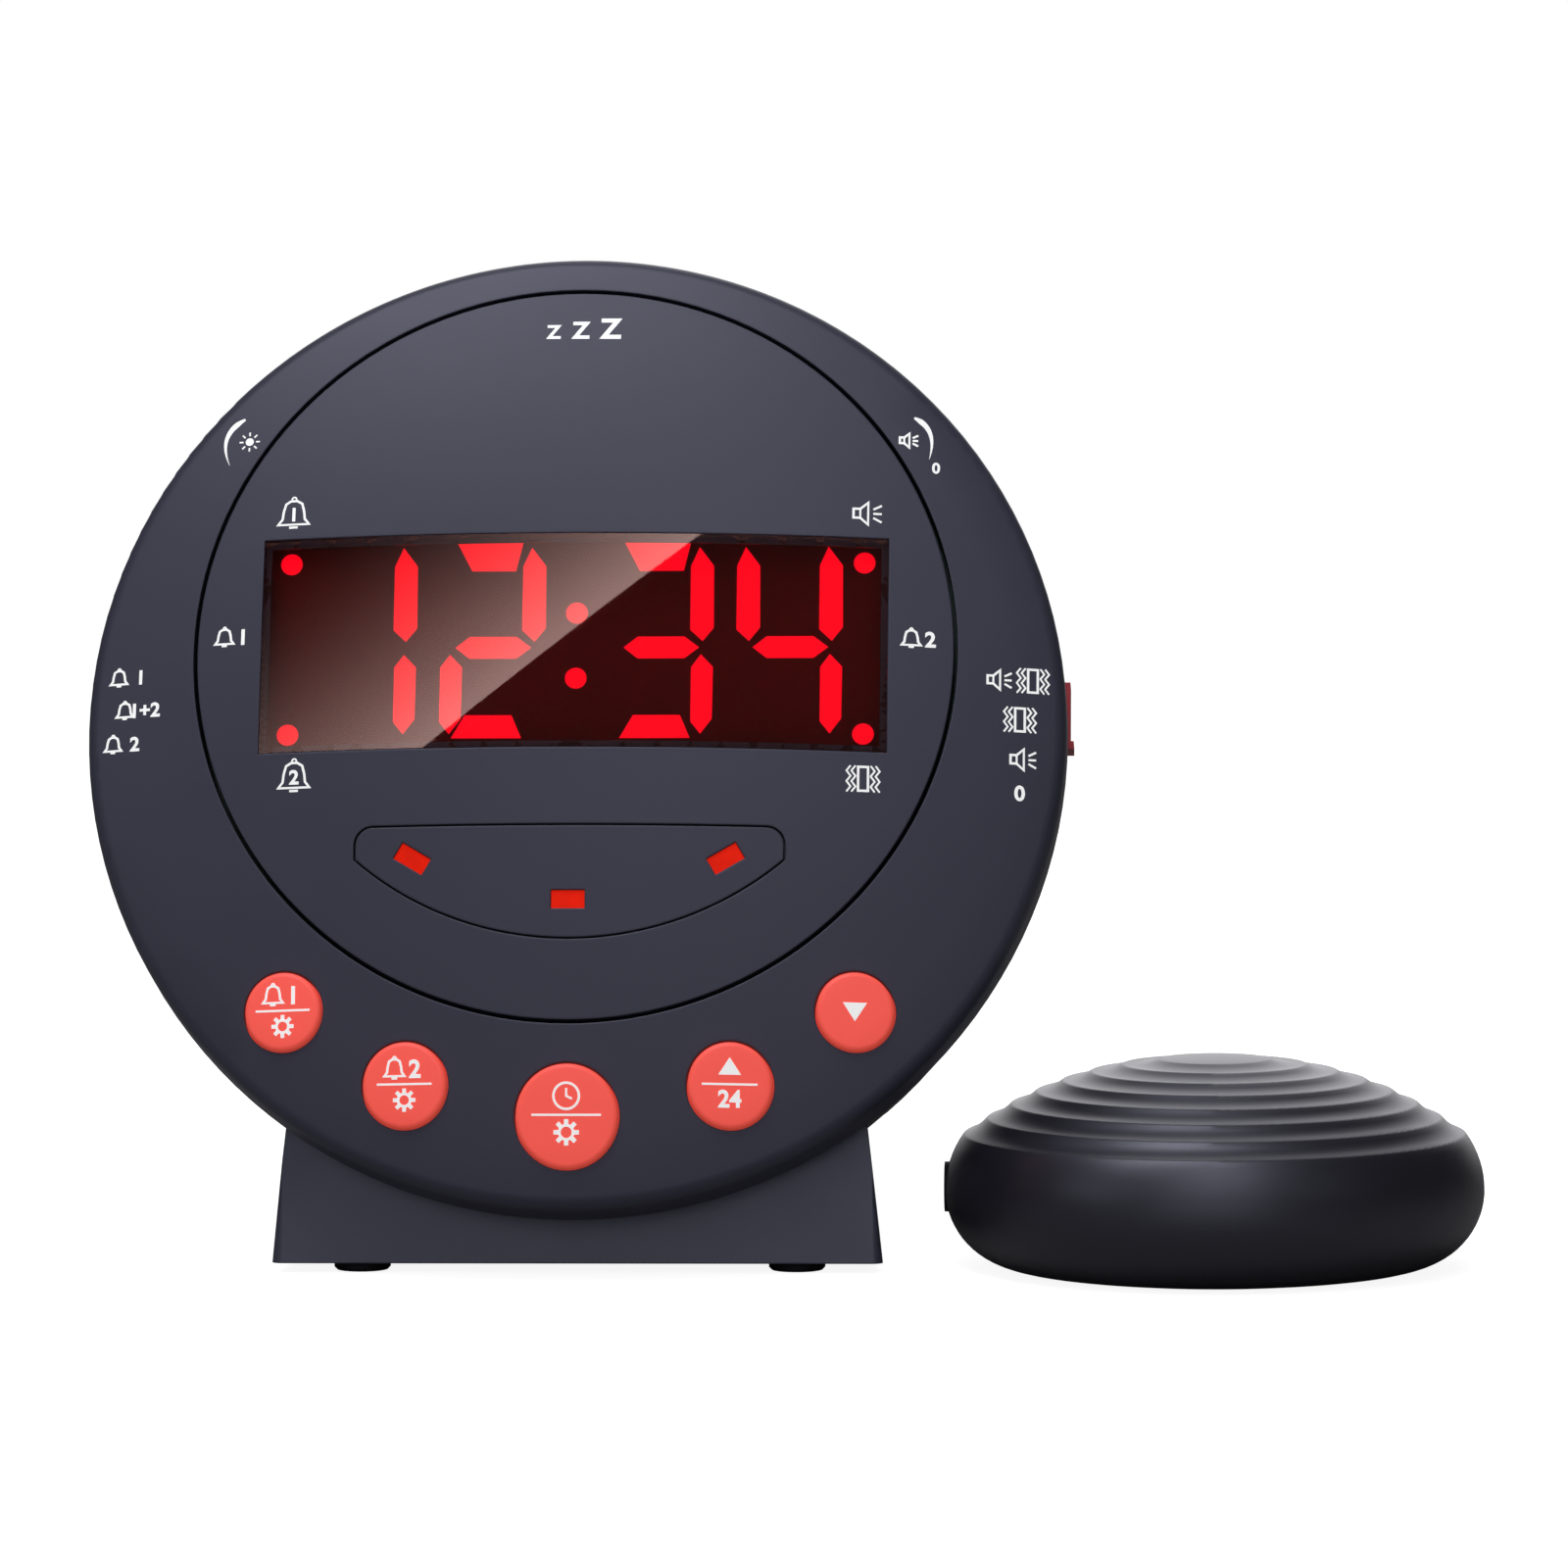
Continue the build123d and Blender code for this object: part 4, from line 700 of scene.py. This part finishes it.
# %% [markdown]
# ## Screw drives
#
# The screws under the stand, behind the head and under the shaker have cross recesses. They could
# be cut one by one, but they are all the same shape at a list of places, which is what Geometry
# Nodes are for: one cross is set on every point and turned to the point's own direction. The
# result is then made a plain mesh, so nothing is left to work out later.


# %% Cross recesses by nodes
CROSS_MM = {"Arm": 2.6, "Width": 0.5, "Depth": 0.04}
# A recess is steel in its own shade, so it is drawn as dark.
dark_recess = moulded("shadowed_steel_recess", "#1b1c1e", "#232426", 0.5)


def cross_tree():
    """Node tree that sets a cross on every point of a mesh, facing along its axis attribute."""
    tree = bpy.data.node_groups.new("cross_recess", "GeometryNodeTree")
    sockets = {}
    for label, kind in (
        ("Points", "NodeSocketGeometry"),
        ("Arm", "NodeSocketFloat"),
        ("Width", "NodeSocketFloat"),
        ("Depth", "NodeSocketFloat"),
        ("Finish", "NodeSocketMaterial"),
    ):
        socket = tree.interface.new_socket(name=label, in_out="INPUT", socket_type=kind)
        sockets[label] = socket.identifier
    tree.interface.new_socket(name="Geometry", in_out="OUTPUT", socket_type="NodeSocketGeometry")
    node = {
        label: tree.nodes.new(kind)
        for label, kind in (
            ("in", "NodeGroupInput"),
            ("long", "ShaderNodeCombineXYZ"),
            ("wide", "ShaderNodeCombineXYZ"),
            ("bar_a", "GeometryNodeMeshCube"),
            ("bar_b", "GeometryNodeMeshCube"),
            ("join", "GeometryNodeJoinGeometry"),
            ("axis", "GeometryNodeInputNamedAttribute"),
            ("turn", "FunctionNodeAlignRotationToVector"),
            ("place", "GeometryNodeInstanceOnPoints"),
            ("real", "GeometryNodeRealizeInstances"),
            ("paint", "GeometryNodeSetMaterial"),
            ("out", "NodeGroupOutput"),
        )
    }
    node["axis"].data_type = "FLOAT_VECTOR"
    node["axis"].inputs["Name"].default_value = "axis"
    node["turn"].axis = "Z"
    for source, output, target, socket in (
        ("in", "Arm", "long", "X"),
        ("in", "Width", "long", "Y"),
        ("in", "Depth", "long", "Z"),
        ("in", "Width", "wide", "X"),
        ("in", "Arm", "wide", "Y"),
        ("in", "Depth", "wide", "Z"),
        ("long", "Vector", "bar_a", "Size"),
        ("wide", "Vector", "bar_b", "Size"),
        ("bar_a", "Mesh", "join", "Geometry"),
        ("bar_b", "Mesh", "join", "Geometry"),
        ("in", "Points", "place", "Points"),
        ("join", "Geometry", "place", "Instance"),
        ("axis", "Attribute", "turn", "Vector"),
        ("turn", "Rotation", "place", "Rotation"),
        ("place", "Instances", "real", "Geometry"),
        ("real", "Geometry", "paint", "Geometry"),
        ("in", "Finish", "paint", "Material"),
        ("paint", "Geometry", "out", "Geometry"),
    ):
        tree.links.new(node[source].outputs[output], node[target].inputs[socket])
    values = {sockets[label]: size / 1000 for label, size in CROSS_MM.items()}
    values[sockets["Finish"]] = dark_recess
    return tree, values


def cross_recesses(name, places, axis, body):
    """Crosses on the screw heads at some places, which all face one way."""
    points = bpy.data.meshes.new(name)
    points.from_pydata([tuple(place) for place in places], [], [])
    facing = points.attributes.new("axis", "FLOAT_VECTOR", "POINT")
    for entry in facing.data:
        entry.vector = axis
    holder = bpy.data.objects.new(name + "_points", points)
    bpy.context.scene.collection.objects.link(holder)
    tree, values = cross_tree()
    modifier = holder.modifiers.new("crosses", "NODES")
    modifier.node_group = tree
    for socket, value in values.items():
        modifier[socket] = value
    bpy.context.view_layer.update()
    shaped = holder.evaluated_get(bpy.context.evaluated_depsgraph_get())
    mesh = bpy.data.meshes.new_from_object(shaped)
    bpy.data.objects.remove(holder)
    piece = bpy.data.objects.new(name, mesh)
    bpy.context.scene.collection.objects.link(piece)
    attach(piece, body)
    print(name, "faces:", len(mesh.polygons))


# %% Screws of the head, the foot and the shaker
SHAKER_MM = Vector((HEAD_MM.x + 90.8, HEAD_MM.y - 3.3, 0))
DOWN = Vector((0, 0, -1))
REAR_RING_MM, REAR_HEADS_MM = 60.2, -6.4
FOOT_HEADS_MM = 1.5
SHAKER_RING_MM, SHAKER_HEADS_MM = 22, 2.2
rear_places = [
    face_point(*polar((0, 0), REAR_RING_MM, math.radians(angle)), REAR_HEADS_MM)
    for angle in (18, 162, 205, 335)
]
foot_places = [
    (HEAD_MM + Vector((side * x, y, FOOT_HEADS_MM - HEAD_MM.z))) / 1000
    for side in (-1, 1)
    for x, y in ((35, 10), (20, 32))
]
shaker_places = [
    (SHAKER_MM + Vector((*polar((0, 0), SHAKER_RING_MM, math.radians(angle)), SHAKER_HEADS_MM)))
    / 1000
    for angle in (60, 180, 300)
]
cross_recesses("rear_screw_recesses", rear_places, -FACE_OUT, "clock")
cross_recesses("foot_screw_recesses", foot_places, DOWN, "clock")
cross_recesses("shaker_screw_recesses", shaker_places, DOWN, "shaker")

# %% [markdown]
# ## Studio
#
# A white floor and a white surround would throw a lot of light back on to the dark plastic. So the
# surround is white for the camera alone, and the floor for the camera and for what it sees through
# the window. To the light itself the floor is a mid grey and the surround is dim in front and
# bright behind: that back shows as the sheen along the upper edges, where the eye looks along the
# surface.


# %% Floor and surround
def white_to_camera(material, plain, bounce, seen):
    """Pale and glowing to the camera and through the window, and a darker grey to other light."""
    path = add_node(material, "ShaderNodeLightPath")
    either = add_node(
        material,
        "ShaderNodeMath",
        {"operation": "MAXIMUM"},
        input_0=path.outputs["Is Camera Ray"],
        input_1=path.outputs["Is Transmission Ray"],
    )
    tone = add_node(
        material,
        "ShaderNodeMix",
        {"data_type": "RGBA"},
        Factor=path.outputs["Is Camera Ray"],
        A=linear(bounce),
        B=linear(plain),
    )
    diffuse = add_node(material, "ShaderNodeBsdfDiffuse", Color=tone.outputs["Result"])
    amount = add_node(
        material,
        "ShaderNodeMath",
        {"operation": "MULTIPLY"},
        input_0=either.outputs[0],
        input_1=seen,
    )
    glow = add_node(
        material, "ShaderNodeEmission", Color=linear("#ffffff"), Strength=amount.outputs[0]
    )
    both = add_node(
        material, "ShaderNodeAddShader", input_0=diffuse.outputs[0], input_1=glow.outputs[0]
    )
    return finish_material(material, both)


REACH = 6.0
sweep = white_to_camera(new_material("white_paper_sweep"), "#d0d0d0", "#8a8a8a", 0.9)
floor_mesh = bpy.data.meshes.new("floor")
corners = [(-REACH, -REACH, 0), (REACH, -REACH, 0), (REACH, REACH, 0), (-REACH, REACH, 0)]
floor_mesh.from_pydata(corners, [], [(0, 1, 2, 3)])
floor_mesh.materials.append(sweep)
floor = bpy.data.objects.new("floor", floor_mesh)
bpy.context.scene.collection.objects.link(floor)

FRONT_LEVEL = 0.05
BACK_LEVEL = 2.1
world = bpy.data.worlds.new("studio")
bpy.context.scene.world = world
world.use_nodes = True
world.node_tree.nodes.clear()
place = add_node(world, "ShaderNodeTexCoord")
direction = add_node(world, "ShaderNodeSeparateXYZ", Vector=place.outputs["Generated"])
aside = add_node(
    world, "ShaderNodeMath", {"operation": "ABSOLUTE"}, input_0=direction.outputs["X"]
)
behind = add_node(
    world,
    "ShaderNodeMath",
    {"operation": "MULTIPLY_ADD"},
    input_0=aside.outputs[0],
    input_1=-1.2,
    input_2=direction.outputs["Y"],
)
ramp = add_node(
    world,
    "ShaderNodeMapRange",
    Value=behind.outputs[0],
    From_Min=0.2,
    From_Max=0.85,
    To_Min=FRONT_LEVEL,
    To_Max=BACK_LEVEL,
)
white = linear("#ffffff")
ambient = add_node(
    world, "ShaderNodeBackground", Color=white, Strength=ramp.outputs["Result"]
)
seen = add_node(world, "ShaderNodeBackground", Color=white, Strength=1.0)
path = add_node(world, "ShaderNodeLightPath")
pick = add_node(
    world,
    "ShaderNodeMixShader",
    input_0=path.outputs["Is Camera Ray"],
    input_1=ambient.outputs[0],
    input_2=seen.outputs[0],
)
add_node(world, "ShaderNodeOutputWorld", Surface=pick.outputs[0])
bpy.context.scene.view_settings.view_transform = "Standard"
print("studio ready")

# %% [markdown]
# ## Lamps
#
# All the lamps are large and soft, since the satin plastic shows them as broad changes of tone. The
# strongest hangs high in front, and makes the face go from pale at its top to dark at its foot.
# The high front lamp leaves out the window, which would mirror it as a bright square. The stand
# is in the shade of the head, so it has a lamp of its own that lights nothing else.


# %% Lamps
def soft_lamp(name, place, target, size, power):
    """Square soft lamp aimed at a point."""
    light = bpy.data.lights.new(name, "AREA")
    light.shape = "SQUARE"
    light.size = size
    light.energy = power
    lamp = bpy.data.objects.new(name, light)
    bpy.context.scene.collection.objects.link(lamp)
    lamp.location = place
    lamp.rotation_mode = "QUATERNION"
    lamp.rotation_quaternion = (Vector(target) - Vector(place)).to_track_quat("-Z", "Y")
    return lamp


def link_light(lamp, node, state):
    """Let a lamp light one piece alone, or every piece but one."""
    receivers = bpy.data.collections.new(f"receivers_of_{lamp.name}")
    receivers.objects.link(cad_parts[node])
    receivers.collection_objects[0].light_linking.link_state = state
    lamp.light_linking.receiver_collection = receivers


HEAD_HIGH = (0, 0, 0.07)
HEAD_LOW = (0, 0, 0.05)
STAND_MIDDLE = (0, 0, 0.03)
soft_lamp("top_lamp", (-0.25, -0.4, 1.3), HEAD_HIGH, 0.8, 10.0)
soft_lamp("low_front_lamp", (0.05, -1.6, 0.3), HEAD_LOW, 1.2, 3.4)
soft_lamp("left_fill", (-1.1, -0.9, 0.7), HEAD_HIGH, 0.7, 1.5)
soft_lamp("right_fill", (1.1, -0.9, 0.7), HEAD_HIGH, 0.7, 0.3)
high_front_lamp = soft_lamp("high_front_lamp", (0.1, -1.1, 1.1), HEAD_HIGH, 0.7, 3.2)
link_light(high_front_lamp, "display_window", "EXCLUDE")
stand_fill = soft_lamp("stand_fill", (0.0, -1.6, 0.2), STAND_MIDDLE, 0.9, 4.6)
link_light(stand_fill, "stand", "INCLUDE")
print("lamps ready")

# %% [markdown]
# ## Camera
#
# The camera stands a metre and a quarter away, a touch to the right and just above the table. A
# long lens from there keeps the round head round. Its place, lens and roll were found by fitting
# the rim, the window and the keys of the clock and the outline of the shaker to where they stand
# in the picture.

# %% Camera
AZIMUTH = math.radians(4.573)
ELEVATION = math.radians(3.778)
DISTANCE = 1.249
LENS_MM = 199.85
AIM_RIGHT, AIM_DOWN = 0.02923, 0.00645
ROLL = math.radians(-0.333)
to_camera = Vector(
    (
        math.sin(AZIMUTH) * math.cos(ELEVATION),
        -math.cos(AZIMUTH) * math.cos(ELEVATION),
        math.sin(ELEVATION),
    )
)
right = Vector((math.cos(AZIMUTH), math.sin(AZIMUTH), 0))
up = right.cross(-to_camera)
head = HEAD_MM / 1000
camera_data = bpy.data.cameras.new("camera")
camera_data.sensor_width = 36
camera_data.lens = LENS_MM
camera = bpy.data.objects.new("camera", camera_data)
bpy.context.scene.collection.objects.link(camera)
camera.location = head + to_camera * DISTANCE
aim = head + right * AIM_RIGHT - up * AIM_DOWN
look = (aim - camera.location).to_track_quat("-Z", "Y")
roll = Matrix.Rotation(ROLL, 4, "Z").to_quaternion()
camera.rotation_mode = "QUATERNION"
camera.rotation_quaternion = look @ roll
bpy.context.scene.camera = camera
print("camera at", [round(c, 3) for c in camera.location])

# %% [markdown]
# ## What the window mirrors
#
# The window mirrors a pale panel that stands outside the picture: a soft grey that begins at a
# sharp slanting edge and dies away to the upper left. The grey could be painted on the window,
# but it would stay put when the view turned. Instead the panel is a real sheet. Its place is
# worked out backwards: the line from the camera is mirrored at the dome, and the sheet is put
# where the mirrored lines go. Only the window is lit by it.


# %% Pale panel for the window
def mirrored(x, u, away):
    """Where the camera's line to a spot of the dome goes on after the mirror."""
    spot = dome_point(x, u, 0)
    out = (spot - face_point(0, 0, DOME_TOP_MM - DOME_R_MM)).normalized()
    view = (camera.location - spot).normalized()
    return spot + (out * (2 * out.dot(view)) - view) * away


EDGE_LOW = Vector((-21.6, -5.81))
EDGE_HIGH = Vector((18.35, 26.58))
FAR_CORNER = Vector((-44.49, 26.59))
PANEL_AWAY = 0.6
PANEL_STRENGTH = 7.8
FALL_OFF = 2.8  # power by which the glow dies away from the sharp edge
along = (EDGE_HIGH - EDGE_LOW).normalized()
length = (EDGE_HIGH - EDGE_LOW).length
across = Vector((-along.y, along.x))
fade = (FAR_CORNER - EDGE_LOW).dot(across)
start_mm, end_mm = -0.5 * length, 1.1 * length
COLUMNS, ROWS = 40, 20
spots, levels, faces = [], [], []
for row in range(ROWS + 1):
    for column in range(COLUMNS + 1):
        run_mm = start_mm + (end_mm - start_mm) * column / COLUMNS
        spot = EDGE_LOW + along * run_mm + across * (fade * row / ROWS)
        spots.append(mirrored(spot.x, spot.y, PANEL_AWAY))
        levels.append((1 - row / ROWS) ** FALL_OFF)
        if row < ROWS and column < COLUMNS:
            corner = row * (COLUMNS + 1) + column
            faces.append((corner, corner + 1, corner + COLUMNS + 2, corner + COLUMNS + 1))
panel_mesh = bpy.data.meshes.new("pale_panel")
panel_mesh.from_pydata([tuple(spot) for spot in spots], [], faces)
level = panel_mesh.attributes.new("level", "FLOAT", "POINT")
level.data.foreach_set("value", levels)
pale_panel = new_material("pale_panel_glow")
reading = add_node(pale_panel, "ShaderNodeAttribute", {"attribute_name": "level"})
strength = add_node(
    pale_panel,
    "ShaderNodeMath",
    {"operation": "MULTIPLY"},
    input_0=reading.outputs["Fac"],
    input_1=PANEL_STRENGTH,
)
warm_grey = (1.0, 0.66, 0.6, 1.0)
glow = add_node(pale_panel, "ShaderNodeEmission", Color=warm_grey, Strength=strength.outputs[0])
finish_material(pale_panel, glow)
pale_panel.cycles.emission_sampling = "NONE"
panel_mesh.materials.append(pale_panel)
panel = bpy.data.objects.new("pale_panel", panel_mesh)
bpy.context.scene.collection.objects.link(panel)
for sight in ("visible_camera", "visible_diffuse", "visible_transmission", "visible_shadow"):
    setattr(panel, sight, False)
link_light(panel, "display_window", "INCLUDE")
print("panel corners:", len(spots))
